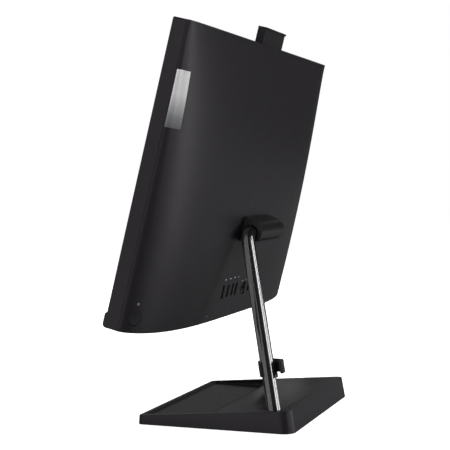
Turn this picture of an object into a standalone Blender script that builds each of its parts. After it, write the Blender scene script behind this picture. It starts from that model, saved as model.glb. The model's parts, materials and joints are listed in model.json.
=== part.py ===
"""All-in-one desktop computer on a side-mounted tube stand.

The display body hangs on a friction hinge at the top of an L-shaped tube, whose foot stands in a
wedge-shaped base. Metres, +Z up, the screen facing -Y, the middle of the base at the origin.
"""

from math import asin, cos, pi, radians, sin, sqrt, tan

import bmesh
import bpy
from mathutils import Matrix, Vector

GAP = 0.0003  # clearance between pieces that rest against each other

# Display body. A place on it is given as x, down (along the screen from its top) and deep (behind its front).
HALF_WIDTH = 0.2705
HEIGHT = 0.3275
TILT = radians(13.81)  # the screen leans back by this much as stored
TOP_FRONT_Y, TOP_FRONT_Z = 0.0082, 0.4490

# Mid frame, the flat band round the screen
FRAME_WALL = 0.002
FRAME_DEPTH = 0.0156
LEDGE_FRONT, LEDGE_THICK, LEDGE_REACH = 0.0093, 0.0015, 0.010
CHIN_TOP = 0.3114
CHIN_PROUD = 0.0023
CHIN_RADIUS = 0.004
FRAME_CORNER = 0.0025

# Screen pieces
BEZEL_THICK = 0.0016
SCREEN_HALF_WIDTH, SCREEN_TOP, SCREEN_BOTTOM = 0.2635, 0.0072, 0.3048
PANEL_FRONT, PANEL_BACK = 0.0021, 0.0090

# Rear cover, which swells from the seam towards the bottom
SEAM_DEPTH = 0.0159
TOP_SWELL, BOTTOM_SWELL, SWELL_POWER = 0.010, 0.038, 2.7
SIDE_POWER_TOP, SIDE_POWER_GAIN = 0.22, 0.38
COVER_WALL = 0.0025
TOP_EDGE_RADIUS, BOTTOM_EDGE_RADIUS = 0.0015, 0.0012

# Hinge: its axis runs along X behind the rear cover
HINGE_DEEP, HINGE_DOWN = 0.0638, 0.2192
HINGE_SLOT = ((-0.037, 0.037), (0.2080, 0.2304))
HOUSING_HALF_WIDTH = 0.0463
HOUSING_NOSE_DEEP, HOUSING_NOSE_DOWN, HOUSING_NOSE_RADIUS = 0.0648, 0.2176, 0.0128
HOUSING_TAPER = radians(9)
HOUSING_WALL = 0.0022
SHAFT_RADIUS, SHAFT_IN_TUBE_RADIUS, SHAFT_BORE_RADIUS = 0.0050, 0.0056, 0.0054
LUG_RADIUS, LUG_INNER_X, LUG_OUTER_X = 0.0083, 0.026, 0.033

# Stand tube, from the base up to the hinge
TUBE_RADIUS, TUBE_BORE_RADIUS = 0.0080, 0.0060
TUBE_CORNER_X = 0.060
TUBE_BEND_RADIUS = 0.016
TUBE_END_X = 0.0385
TUBE_FOOT = Vector((0.1125, 0.0677, 0.0223))
TUBE_BELOW_FOOT = 0.0100

# Pop-up camera
CAMERA_HALF_WIDTH, CAMERA_FRONT, CAMERA_BACK = 0.040, 0.013, 0.0227
CAMERA_RAISED, CAMERA_SUNK = 0.020, 0.022
CAMERA_LIP_REACH, CAMERA_LIP_HEIGHT = 0.0014, 0.0022

# Power button and its light, set into the rear cover by its lower corner
BUTTON_X, BUTTON_DOWN, BUTTON_RADIUS = 0.2605, 0.3106, 0.00825
LIGHT_X, LIGHT_DOWN, LIGHT_RADIUS = 0.2599, 0.2959, 0.0015

# Plain badge plate, let into the cover; its turns are places across the cover, as cover_x takes them
BADGE_TOP, BADGE_BOTTOM, BADGE_SUNK = 0.0504, 0.1104, 0.0008
BADGE_TURNS = (0.667, 0.960)

# Ports: name, x, down, width, height
PORTS = (
    ("hdmi_port", 0.0670, 0.2934, 0.0058, 0.0158),
    ("usb_port_1", 0.0500, 0.2934, 0.0064, 0.0146),
    ("usb_port_2", 0.0330, 0.2934, 0.0064, 0.0146),
    ("usb_port_3", 0.0194, 0.2934, 0.0064, 0.0146),
    ("network_port", -0.0086, 0.2952, 0.0156, 0.0154),
    ("power_inlet", -0.0300, 0.2934, 0.0064, 0.0126),
)
PORT_WALL, PORT_MOUTH, PORT_BACK = 0.0006, 0.0532, 0.0402

# Boards and plain blocks behind the screen: name, ranges of x, down and deep, material, rounded edge
INNER_BLOCKS = (
    ("chassis_plate", (-0.250, 0.250), (0.050, 0.312), (0.0112, 0.0125), "sheet_steel", 0),
    ("mainboard", (-0.110, 0.170), (0.236, 0.311), (0.0170, 0.0186), "board_green", 0),
    ("io_board", (-0.042, 0.080), (0.279, 0.3085), (0.0382, 0.0398), "board_green", 0),
    ("memory_module", (0.098, 0.166), (0.250, 0.280), (0.0200, 0.0238), "board_green", 0.0004),
    ("ssd_card", (0.010, 0.090), (0.241, 0.263), (0.0200, 0.0223), "board_green", 0.0004),
    ("wifi_card", (0.132, 0.162), (0.286, 0.308), (0.0200, 0.0222), "board_green", 0.0004),
    ("cooler_plate", (-0.103, -0.061), (0.249, 0.291), (0.0190, 0.0228), "copper", 0.0005),
    ("storage_drive", (0.128, 0.198), (0.120, 0.220), (0.0164, 0.0234), "dark_steel", 0.001),
    ("speaker_right", (-0.238, -0.178), (0.282, 0.316), (0.0132, 0.0280), "fan_black", 0.002),
    ("speaker_left", (0.178, 0.238), (0.282, 0.316), (0.0132, 0.0280), "fan_black", 0.002),
)
# Sheet trays bent up at their edges: name, ranges of x, down and deep, wall
INNER_TRAYS = (
    ("io_bracket", (-0.040, 0.078), (0.281, 0.3065), (0.0190, 0.0378), 0.0015),
    ("drive_bracket", (0.120, 0.206), (0.112, 0.228), (0.0130, 0.0205), 0.0015),
)

# Heat pipe from the cooler plate, behind the boards, to the comb of fins in the fan's outlet
HEAT_PIPE_RADIUS = 0.003
HEAT_PIPE_ROUTE = (
    (-0.074, 0.280, 0.0262),
    (-0.082, 0.268, 0.0262),
    (-0.092, 0.250, 0.0262),
    (-0.099, 0.228, 0.0265),
    (-0.102, 0.200, 0.0280),
    (-0.102, 0.165, 0.0300),
    (-0.102, 0.142, 0.0308),
    (-0.107, 0.127, 0.0308),
    (-0.120, 0.119, 0.0308),
    (-0.140, 0.118, 0.0308),
    (-0.165, 0.118, 0.0308),
    (-0.186, 0.118, 0.0308),
)
SINK_X, SINK_DOWN, SINK_FINS = (-0.190, -0.114), (0.108, 0.128), 13
SINK_FRONT, SINK_ROOT, SINK_TIP = 0.0185, 0.0200, 0.0272

# Cooling fan
FAN_X, FAN_DOWN, FAN_RADIUS = -0.150, 0.172, 0.032
FAN_FRONT, FAN_BACK = 0.0180, 0.0300
FAN_BLADES = 11

# Base: a wedge whose top face rises to the rear
BASE_HALF_WIDTH, BASE_HALF_DEPTH = 0.12815, 0.0930
BASE_TOP_HEIGHT, BASE_TOP_SLOPE = 0.0189, 0.0865
BASE_BOTTOM, BASE_WIDEST = 0.0005, 0.0013
BASE_WALL = 0.0025
BASE_REAR_TOP_Y = 0.0895
TRAY_HALF_WIDTH, TRAY_FRONT, TRAY_REAR, TRAY_FLOOR = 0.120, -0.086, -0.003, 0.0075
FOOT_RADIUS, FOOT_HEIGHT = 0.008, 0.0012
FOOT_X, FOOT_Y = 0.106, 0.068
SCREW_SPOTS = ((-0.100, 0.080), (0.100, 0.080), (-0.118, 0.010), (0.118, 0.010))

# Cable clip on the tube
CLIP_UP_TUBE = 0.0490  # from the tube's foot to the middle of the clip
CLIP_HALF_HEIGHT = 0.0081
CLIP_WALL = 0.0020
CLIP_MOUTH = (radians(-30), radians(58))  # the clamp's opening, from its across direction
HOOK_LOW, HOOK_HIGH = -0.0030, 0.0111

MATERIALS = {
    "casing_black": ((0.030, 0.029, 0.031), 0.42, 0.0),
    "hinge_black": ((0.020, 0.019, 0.021), 0.35, 0.0),
    "tube_black": ((0.020, 0.020, 0.022), 0.12, 1.0),
    "clip_black": ((0.018, 0.018, 0.019), 0.38, 0.0),
    "bezel_black": ((0.012, 0.012, 0.013), 0.45, 0.0),
    "screen_dark": ((0.008, 0.008, 0.010), 0.18, 0.0),
    "badge_silver": ((0.60, 0.60, 0.61), 0.30, 1.0),
    "light_white": ((0.75, 0.75, 0.75), 0.40, 0.0),
    "port_metal": ((0.45, 0.45, 0.46), 0.30, 1.0),
    "sheet_steel": ((0.52, 0.53, 0.54), 0.38, 1.0),
    "dark_steel": ((0.16, 0.16, 0.17), 0.40, 1.0),
    "board_green": ((0.02, 0.10, 0.05), 0.45, 0.0),
    "copper": ((0.72, 0.36, 0.20), 0.30, 1.0),
    "fin_aluminium": ((0.70, 0.71, 0.72), 0.35, 1.0),
    "fan_black": ((0.022, 0.022, 0.022), 0.45, 0.0),
    "rubber_black": ((0.018, 0.018, 0.018), 0.80, 0.0),
    "mat_grey": ((0.035, 0.034, 0.036), 0.70, 0.0),
    "lens_glass": ((0.010, 0.012, 0.020), 0.06, 0.0),
}


# ---------------------------------------------------------------- helpers


def clear_scene():
    for obj in list(bpy.data.objects):
        bpy.data.objects.remove(obj, do_unlink=True)


def material(name):
    found = bpy.data.materials.get(name)
    if found:
        return found
    colour, roughness, metallic = MATERIALS[name]
    made = bpy.data.materials.new(name)
    made.use_nodes = True
    shader = made.node_tree.nodes["Principled BSDF"]
    shader.inputs["Base Color"].default_value = (*colour, 1.0)
    shader.inputs["Roughness"].default_value = roughness
    shader.inputs["Metallic"].default_value = metallic
    made.diffuse_color = (*colour, 1.0)
    return made


def add_empty(name, matrix):
    empty = bpy.data.objects.new(name, None)
    empty.empty_display_size = 0.02
    bpy.context.scene.collection.objects.link(empty)
    empty.matrix_world = matrix
    return empty


def add_mesh(name, vertices, faces, slot=None, parent=None, smooth=None):
    """A closed mesh. Without a slot it is a hidden cutter; smooth is the sharp-edge angle in degrees."""
    work = bmesh.new()
    corners = [work.verts.new(vertex) for vertex in vertices]
    for face in faces:
        work.faces.new([corners[index] for index in face])
    bmesh.ops.remove_doubles(work, verts=work.verts, dist=1e-7)
    bmesh.ops.recalc_face_normals(work, faces=work.faces)
    mesh = bpy.data.meshes.new(name)
    work.to_mesh(mesh)
    work.free()
    if smooth:
        mesh.shade_smooth()
        mesh.set_sharp_from_angle(angle=radians(smooth))
    obj = bpy.data.objects.new(name, mesh)
    bpy.context.scene.collection.objects.link(obj)
    obj.parent = parent
    if slot:
        mesh.materials.append(material(slot))
    else:
        obj.hide_render = True
        obj.display_type = "WIRE"
    return obj


def loft(name, rings, slot=None, parent=None, smooth=None):
    """A solid through rings with equal point counts, closed by the first and the last ring."""
    count = len(rings[0])
    vertices = [point for ring in rings for point in ring]
    last = (len(rings) - 1) * count
    faces = [tuple(range(count)), tuple(last + i for i in range(count))]
    for row in range(len(rings) - 1):
        for i in range(count):
            a, b = row * count + i, row * count + (i + 1) % count
            faces.append((a, b, b + count, a + count))
    return add_mesh(name, vertices, faces, slot, parent, smooth)


def prism(name, outline, low, high, place, slot=None, parent=None, smooth=None):
    """The flat outline carried from low to high; place(a, b, height) turns it into a point."""
    rings = [[place(a, b, height) for a, b in outline] for height in (low, high)]
    return loft(name, rings, slot, parent, smooth)


def tube_ring(centre, axis, radius, count):
    turn = Vector(axis).to_track_quat("Z", "Y")
    angles = [2 * pi * i / count for i in range(count)]
    return [Vector(centre) + turn @ Vector((radius * cos(a), radius * sin(a), 0)) for a in angles]


def rod(name, start, end, radius, count=20, slot=None, parent=None):
    axis = Vector(end) - Vector(start)
    rings = [tube_ring(start, axis, radius, count), tube_ring(end, axis, radius, count)]
    return loft(name, rings, slot, parent, smooth=40)


def turned(name, start, axis, profile, count=20, slot=None, parent=None):
    """A solid turned about an axis, through (distance along it, radius) pairs."""
    axis = Vector(axis).normalized()
    rings = [tube_ring(Vector(start) + axis * along, axis, radius, count) for along, radius in profile]
    return loft(name, rings, slot, parent, smooth=40)


def rounded_rectangle(left, right, low, high, radii, steps=4):
    """Corner radii in the order low left, low right, high right, high left."""
    points = []
    for quarter, radius in enumerate(radii):
        across = left + radius if quarter in (0, 3) else right - radius
        along = low + radius if quarter in (0, 1) else high - radius
        if radius == 0:
            points.append((across, along))
            continue
        for step in range(steps + 1):
            angle = pi + (quarter + step / steps) * pi / 2
            points.append((across + radius * cos(angle), along + radius * sin(angle)))
    return points


def arc(centre, radius, start, end, steps):
    """Points of an arc, with its angles in radians."""
    angles = [start + (end - start) * step / steps for step in range(steps + 1)]
    return [(centre[0] + radius * cos(a), centre[1] + radius * sin(a)) for a in angles]


def apply_boolean(target, other, operation):
    modifier = target.modifiers.new(f"{operation.title()} {other.name}", "BOOLEAN")
    modifier.operation = operation
    modifier.solver = "EXACT"
    modifier.object = other


def cut(target, *cutters):
    for cutter in cutters:
        apply_boolean(target, cutter, "DIFFERENCE")


def fuse(target, *others):
    for other in others:
        apply_boolean(target, other, "UNION")


def bevel(obj, width, segments=1, angle=40):
    modifier = obj.modifiers.new("Bevel", "BEVEL")
    modifier.width = width
    modifier.segments = segments
    modifier.limit_method = "ANGLE"
    modifier.angle_limit = radians(angle)


def set_origin(obj, point):
    obj.data.transform(Matrix.Translation(-Vector(point)))
    obj.location = point


# ---------------------------------------------------------------- places on the display body


def screen(x, down, deep):
    """A place on the display body, in the coordinates of its hinge pivot."""
    return Vector((x, deep - HINGE_DEEP, HINGE_DOWN - down))


def hinge_matrix():
    """World matrix of the hinge pivot: Y runs straight back from the screen and Z up along it."""
    y = TOP_FRONT_Y - sin(TILT) * HINGE_DOWN + cos(TILT) * HINGE_DEEP
    z = TOP_FRONT_Z - cos(TILT) * HINGE_DOWN - sin(TILT) * HINGE_DEEP
    return Matrix.Translation((0, y, z)) @ Matrix.Rotation(-TILT, 4, "X")


def rounding(distance, radius):
    """How far a rounded edge falls back at this distance from the edge."""
    inside = max(radius - distance, 0.0)
    return radius - sqrt(max(radius**2 - inside**2, 0.0))


def cover_deep(x, down, inset=0.0):
    """Depth of the rear cover's outer surface, or of the surface this far inside it."""
    across = min(abs(x) / (HALF_WIDTH - inset), 1.0)
    fall = min(max(down / HEIGHT, 0.0), 1.0)
    swell = TOP_SWELL + (BOTTOM_SWELL - TOP_SWELL) * (1 - (1 - fall) ** SWELL_POWER) - inset
    swell -= rounding(down - inset, TOP_EDGE_RADIUS) + rounding(HEIGHT - inset - down, BOTTOM_EDGE_RADIUS)
    return SEAM_DEPTH + swell * (1 - across**4) ** (SIDE_POWER_TOP + SIDE_POWER_GAIN * fall**0.25)


def cover_x(turn, inset=0.0):
    """x at turn -1..1 across the cover, with the columns gathered towards the two sides."""
    x = (HALF_WIDTH - inset) * (1 - (1 - abs(turn)) ** 2.6)
    return x if turn >= 0 else -x


def cover_normal(x, down):
    """Outward direction on the cover as (x, down, deep)."""
    step = 1e-5
    slope_x = (cover_deep(x + step, down) - cover_deep(x - step, down)) / (2 * step)
    slope_down = (cover_deep(x, down + step) - cover_deep(x, down - step)) / (2 * step)
    return Vector((-slope_x, -slope_down, 1)).normalized()


def on_cover(x, down, lift=0.0):
    """A place this far above the cover's surface, in the pivot's coordinates."""
    place = Vector((x, down, cover_deep(x, down))) + cover_normal(x, down) * lift
    return screen(*place)


def cover_solid(name, inset, front, columns, slot=None, parent=None):
    """The cover's form as a solid, from its front plane to its swollen surface."""
    low, high = inset, HEIGHT - inset
    rows = [low, low + 0.0006, low + TOP_EDGE_RADIUS]
    rows += [low + (high - low) * step / 13 for step in range(1, 13)]
    rows += [high - BOTTOM_EDGE_RADIUS * share for share in (1, 0.5, 0.15, 0)]
    turns = [-1 + 2 * i / columns for i in range(columns + 1)]
    rings = []
    for down in rows:
        across = [cover_x(turn, inset) for turn in turns]
        ring = [screen(x, down, cover_deep(x, down, inset)) for x in across]
        if inset:
            ring += [screen(across[-1], down, front), screen(across[0], down, front)]
        rings.append(ring)
    return loft(name, rings, slot, parent, smooth=35)


def screen_box(name, x, down, deep, slot=None, parent=None, edge=0.0):
    """A block on the display body between pairs of x, down and deep."""
    outline = rounded_rectangle(x[0], x[1], down[0], down[1], (0, 0, 0, 0))
    block = prism(name, outline, deep[0], deep[1], screen, slot, parent)
    if edge:
        bevel(block, edge)
    return block


# ---------------------------------------------------------------- display body


def chin_profile(deep, low):
    """Side outline (deep, down) of the display's band with its chin, from its top front corner."""
    centre = (CHIN_RADIUS - CHIN_PROUD, HEIGHT - CHIN_RADIUS)
    corner = arc(centre, CHIN_RADIUS, pi, pi / 2, 4)
    front = [(0, low), (0, CHIN_TOP - 0.0008), (-CHIN_PROUD, CHIN_TOP + 0.0014)]
    return [*front, *corner, (deep, HEIGHT), (deep, low)]


def make_mid_frame(pivot):
    """Band round the screen, with a ledge inside it that carries the panel."""
    frame = prism(
        "mid_frame",
        chin_profile(FRAME_DEPTH, 0.0),
        -HALF_WIDTH,
        HALF_WIDTH,
        lambda deep, down, x: screen(x, down, deep),
        "casing_black",
        pivot,
    )
    corners = (FRAME_CORNER, FRAME_CORNER, 0, 0)
    outer = rounded_rectangle(-HALF_WIDTH, HALF_WIDTH, 0, HEIGHT + 0.01, corners)
    trim = prism("frame_corner_trim", outer, -0.01, 0.03, screen, parent=pivot)
    apply_boolean(frame, trim, "INTERSECT")

    def room(name, wall, deep):
        side = HALF_WIDTH - wall
        return screen_box(name, (-side, side), (wall, HEIGHT - wall), deep, parent=pivot)

    opening = room("frame_front_opening", FRAME_WALL, (-0.01, LEDGE_FRONT))
    window = room("frame_window", FRAME_WALL + LEDGE_REACH, (0.0, 0.03))
    rear = room("frame_rear_opening", FRAME_WALL, (LEDGE_FRONT + LEDGE_THICK, 0.03))
    cut(frame, opening, window, rear)
    return frame


def make_chin_bar(pivot):
    """Speaker bar below the screen, between the frame's side walls."""
    side = HALF_WIDTH - FRAME_WALL - GAP
    bottom = HEIGHT - FRAME_WALL - GAP
    centre = (CHIN_RADIUS - CHIN_PROUD, HEIGHT - CHIN_RADIUS)
    turn = asin((bottom - centre[1]) / CHIN_RADIUS)
    front = arc(centre, CHIN_RADIUS, pi, pi - turn, 2)
    outline = [(LEDGE_FRONT - GAP, CHIN_TOP + 0.0006), (0, CHIN_TOP + 0.0006)]
    outline += [(-CHIN_PROUD, CHIN_TOP + 0.0014), *front, (LEDGE_FRONT - GAP, bottom)]
    prism("chin_bar", outline, -side, side, lambda deep, down, x: screen(x, down, deep), "bezel_black", pivot)


def make_screen(pivot):
    side = HALF_WIDTH - FRAME_WALL - GAP
    top, bottom = FRAME_WALL + GAP, CHIN_TOP - 0.0004
    bezel = screen_box("front_bezel", (-side, side), (top, bottom), (0, BEZEL_THICK), "bezel_black", pivot)
    across, along = (-SCREEN_HALF_WIDTH, SCREEN_HALF_WIDTH), (SCREEN_TOP, SCREEN_BOTTOM)
    cut(bezel, screen_box("bezel_opening", across, along, (-0.01, 0.01), parent=pivot))
    across, along = (-side + 0.001, side - 0.001), (top + 0.0012, bottom - 0.001)
    screen_box("screen_panel", across, along, (PANEL_FRONT, PANEL_BACK), "screen_dark", pivot)


def vent_slots(pivot):
    """Air slots through the cover's top and bottom edges, as one cutter."""
    vertices, faces = [], []
    places = [side * (0.064 + 0.012 * step) for step in range(9) for side in (-1, 1)]
    edges = (((0.0178, 0.0222), (-0.005, 0.005)), ((0.024, 0.040), (HEIGHT - 0.005, HEIGHT + 0.005)))
    for x, (deep, down) in ((x, edge) for x in places for edge in edges):
        first = len(vertices)
        for level in deep:
            for a, b in ((-1, 0), (1, 0), (1, 1), (-1, 1)):
                vertices.append(screen(x + a * 0.0015, down[b], level))
        for face in ((0, 1, 2, 3), (7, 6, 5, 4), (0, 4, 5, 1), (1, 5, 6, 2), (2, 6, 7, 3), (3, 7, 4, 0)):
            faces.append([first + corner for corner in face])
    return add_mesh("vent_slot_cutter", vertices, faces, parent=pivot)


def make_rear_cover(pivot):
    cover = cover_solid("rear_cover", 0.0, SEAM_DEPTH, 28, "casing_black", pivot)
    hollow = cover_solid("cover_hollow", COVER_WALL, SEAM_DEPTH - 0.005, 24, parent=pivot)
    cut(cover, hollow, vent_slots(pivot))
    hinge_slot = screen_box("hinge_slot", *HINGE_SLOT, (0.03, 0.07), parent=pivot)
    side = CAMERA_HALF_WIDTH + 0.0004
    deep = (CAMERA_FRONT - 0.0004, CAMERA_BACK + 0.0004)
    camera_slot = screen_box("camera_slot", (-side, side), (-0.005, 0.005), deep, parent=pivot)
    cut(cover, hinge_slot, camera_slot)
    for name, x, down, width, height in PORTS:
        half_x, half_down = width / 2 + 0.0004, height / 2 + 0.0004
        across, along = (x - half_x, x + half_x), (down - half_down, down + half_down)
        cut(cover, screen_box(f"{name}_hole", across, along, (0.045, 0.06), parent=pivot))
    return cover, camera_slot


def cover_axis(x, down):
    """Middle and outward direction of a round piece set into the cover, in the pivot's coordinates."""
    normal = cover_normal(x, down)
    return on_cover(x, down), Vector((normal.x, normal.z, -normal.y))


def make_button_and_light(pivot, cover, outer_form):
    middle, out = cover_axis(BUTTON_X, BUTTON_DOWN)

    def pin(name, low, high, radius, count, slot=None):
        return rod(name, middle + out * low, middle + out * high, radius, count, slot, pivot)

    button = pin("power_button", -0.0026, 0.006, BUTTON_RADIUS, 28, "casing_black")
    apply_boolean(button, outer_form, "INTERSECT")
    stem = pin("button_stem", -0.0070, -0.0020, 0.0024, 12)
    fuse(button, stem)
    hole = pin("button_hole", -0.010, 0.010, BUTTON_RADIUS + 0.0004, 28)
    cut(cover, hole)
    for piece in (button, stem, hole):
        set_origin(piece, middle)
    pin("power_switch", -0.0120, -0.0082, 0.0042, 8, "board_green")

    middle, out = cover_axis(LIGHT_X, LIGHT_DOWN)
    light = pin("status_light", -0.0022, 0.004, LIGHT_RADIUS, 14, "light_white")
    apply_boolean(light, outer_form, "INTERSECT")
    cut(cover, pin("light_hole", -0.006, 0.006, LIGHT_RADIUS + 0.00035, 14))


def badge_form(name, low, high, edge, slot=None, parent=None):
    """A plate that follows the cover's side, between two heights over it."""
    first, last = BADGE_TURNS
    turns = [first - edge + (last - first + 2 * edge) * step / 9 for step in range(10)]
    top, bottom = BADGE_TOP - edge * 0.1, BADGE_BOTTOM + edge * 0.1
    rings = []
    for down in (top + (bottom - top) * step / 4 for step in range(5)):
        under = [on_cover(cover_x(turn), down, low) for turn in turns]
        over = [on_cover(cover_x(turn), down, high) for turn in reversed(turns)]
        rings.append(under + over)
    return loft(name, rings, slot, parent, smooth=35)


def make_badge(pivot, cover):
    """Plain plate let into the cover, flush with it."""
    cut(cover, badge_form("badge_recess", -BADGE_SUNK, 0.004, 0.003, parent=pivot))
    badge_form("badge_plate", GAP - BADGE_SUNK, 0.0, 0.0, "badge_silver", pivot)


def make_camera(pivot):
    """Housing that slides up out of the display, with a window, a lens and a fixed guide."""
    across = (-CAMERA_HALF_WIDTH, CAMERA_HALF_WIDTH)
    deep = (CAMERA_FRONT, CAMERA_BACK)
    housing = screen_box("camera_housing", across, (-CAMERA_RAISED, CAMERA_SUNK), deep, "casing_black", pivot)
    lip_down = (-CAMERA_RAISED, -CAMERA_RAISED + CAMERA_LIP_HEIGHT)
    lip_deep = (CAMERA_BACK - 0.001, CAMERA_BACK + CAMERA_LIP_REACH)
    fuse(housing, screen_box("camera_lip", across, lip_down, lip_deep, parent=pivot))
    face = (CAMERA_FRONT - 0.002, CAMERA_FRONT + 0.0012)
    recess = screen_box("camera_window_recess", (-0.033, 0.033), (-0.018, -0.004), face, parent=pivot)
    lens_middle = screen(0, -0.011, CAMERA_FRONT)
    back = Vector((0, 1, 0))

    def lens_hole(name):
        return rod(name, lens_middle - back * 0.004, lens_middle + back * 0.004, 0.004, 20, parent=pivot)

    cut(housing, recess, lens_hole("camera_lens_hole"))
    face = (CAMERA_FRONT + 0.0002, CAMERA_FRONT + 0.0009)
    window = screen_box("camera_window", (-0.0327, 0.0327), (-0.0177, -0.0043), face, "lens_glass", pivot)
    cut(window, lens_hole("window_lens_hole"))
    profile = ((0.0004, 0.0012), (0.0002, 0.0026), (0.0008, 0.0036), (0.0037, 0.0036))
    turned("camera_lens", lens_middle, back, profile, 20, "lens_glass", pivot)
    guide_outline = [(-0.0435, 0.0150), (-0.0435, 0.0462), (0.0435, 0.0462), (0.0435, 0.0150)]
    guide_outline += [(0.0405, 0.0150), (0.0405, 0.0432), (-0.0405, 0.0432), (-0.0405, 0.0150)]
    prism("camera_guide", guide_outline, 0.0130, 0.0215, screen, "fan_black", pivot)


def make_ports(pivot):
    """Metal shells, each open to the rear."""
    for name, x, down, width, height in PORTS:
        half_x, half_down = width / 2, height / 2
        outer = rounded_rectangle(x - half_x, x + half_x, down - half_down, down + half_down, (0.0006,) * 4, 2)
        share_x, share_down = 1 - PORT_WALL / half_x, 1 - PORT_WALL / half_down
        inner = [(x + (a - x) * share_x, down + (b - down) * share_down) for a, b in outer]
        floor = PORT_BACK + PORT_WALL
        levels = ((outer, PORT_BACK), (outer, PORT_MOUTH), (inner, PORT_MOUTH), (inner, floor))
        rings = [[screen(a, b, deep) for a, b in ring] for ring, deep in levels]
        loft(name, rings, "port_metal", pivot)


def blade_outline(start):
    """Outline of a swept fan blade as (distance from the axle, angle) pairs."""
    inner, outer = 0.0112, FAN_RADIUS - 0.0006
    reaches = (inner, (inner + outer) / 2, outer)
    sweep, half_root = 14, 0.022

    def edge(side):
        turns = [sweep * (reach - inner) + side * half_root * inner / reach for reach in reaches]
        return [(reach, start + turn) for reach, turn in zip(reaches, turns)]

    return [*edge(-1), *reversed(edge(1))]


def make_fan(pivot):
    """A blower: a flat housing with a round inlet, and a bladed rotor on a stub axle."""
    middle = screen(FAN_X, FAN_DOWN, 0) + Vector((0, FAN_FRONT, 0))
    back = Vector((0, 1, 0))
    side = FAN_RADIUS + 0.005

    def pin(name, low, high, radius, count, slot=None):
        return rod(name, middle + back * low, middle + back * high, radius, count, slot, pivot)

    across, along = (FAN_X - side, FAN_X + side), (FAN_DOWN - side, FAN_DOWN + side)
    housing = screen_box("fan_housing", across, along, (FAN_FRONT, FAN_BACK), "fan_black", pivot, 0.001)
    room = pin("fan_room", 0.0012, 0.0108, FAN_RADIUS + 0.0015, 28)
    inlet = pin("fan_inlet", 0.008, 0.020, FAN_RADIUS - 0.008, 28)
    across, along = (FAN_X - 0.026, FAN_X + 0.026), (FAN_DOWN - side - 0.005, FAN_DOWN - 0.018)
    outlet = screen_box("fan_outlet", across, along, (FAN_FRONT + 0.0012, FAN_BACK - 0.0012), parent=pivot)
    cut(housing, room, inlet, outlet)
    fuse(housing, pin("fan_stub_axle", 0.0006, 0.0060, 0.0030, 12))

    rotor = pin("fan_rotor", 0.0018, 0.0098, 0.0120, 22, "fan_black")
    socket = pin("rotor_socket", 0.0005, 0.0070, 0.0034, 12)
    for blade in range(FAN_BLADES):
        outline = blade_outline(2 * pi * blade / FAN_BLADES)
        rings = []
        for level in (0.0024, 0.0092):
            rings.append([middle + Vector((reach * cos(a), level, reach * sin(a))) for reach, a in outline])
        fuse(rotor, loft(f"fan_blade_{blade + 1}", rings, parent=pivot))
    cut(rotor, socket)
    set_origin(rotor, middle)


def make_electronics(pivot):
    """Boards, cooler, drive and speakers between the screen and the rear cover."""
    for name, x, down, deep, slot, edge in INNER_BLOCKS:
        screen_box(name, x, down, deep, slot, pivot, edge)
    for name, x, down, deep, wall in INNER_TRAYS:
        tray = screen_box(name, x, down, deep, "sheet_steel", pivot)
        across, along = (x[0] + wall, x[1] - wall), (down[0] + wall, down[1] - wall)
        cut(tray, screen_box(f"{name}_room", across, along, (deep[0] + wall, deep[1] + 0.01), parent=pivot))
    make_heat_pipe(pivot)
    make_heat_sink(pivot)


def make_heat_sink(pivot):
    """A comb of upright fins on a base strip."""
    left, right = SINK_X
    pitch = (right - left) / SINK_FINS
    thick = pitch * 0.45
    comb = []
    for fin in range(SINK_FINS):
        start = left + pitch * fin
        comb += [(start, SINK_ROOT), (start, SINK_TIP), (start + thick, SINK_TIP), (start + thick, SINK_ROOT)]
    outline = [*comb[1:-1], (comb[-1][0], SINK_FRONT), (left, SINK_FRONT)]
    prism("heat_sink", outline, *SINK_DOWN, lambda x, deep, down: screen(x, down, deep), "fin_aluminium", pivot)


def make_heat_pipe(pivot):
    curve = bpy.data.curves.new("heat_pipe", "CURVE")
    curve.dimensions = "3D"
    curve.bevel_depth = HEAT_PIPE_RADIUS
    curve.bevel_resolution = 2
    curve.use_fill_caps = True
    spline = curve.splines.new("POLY")
    spline.points.add(len(HEAT_PIPE_ROUTE) - 1)
    for point, place in zip(spline.points, HEAT_PIPE_ROUTE):
        point.co = (*screen(*place), 1.0)
    curve.materials.append(material("copper"))
    pipe = bpy.data.objects.new("heat_pipe", curve)
    bpy.context.scene.collection.objects.link(pipe)
    pipe.parent = pivot


# ---------------------------------------------------------------- hinge


def housing_outline(shrink):
    """Outline (deep, down) of the hinge housing, this far inside its outer surface."""
    centre = (HOUSING_NOSE_DEEP, HOUSING_NOSE_DOWN)
    radius = HOUSING_NOSE_RADIUS - shrink
    nose = arc(centre, radius, -pi / 2 + HOUSING_TAPER, pi / 2 - HOUSING_TAPER, 12)
    slope = tan(HOUSING_TAPER)
    ends = []
    for (deep, down), side in ((nose[0], -1), (nose[-1], 1)):
        edge = down + side * 0.0024
        root = cover_deep(0, edge) + 0.0005 if shrink == 0 else cover_deep(0, edge) - 0.004
        ends.append((root, down + side * slope * (deep - root)))
    return [ends[0], *nose, ends[1]]


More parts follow.
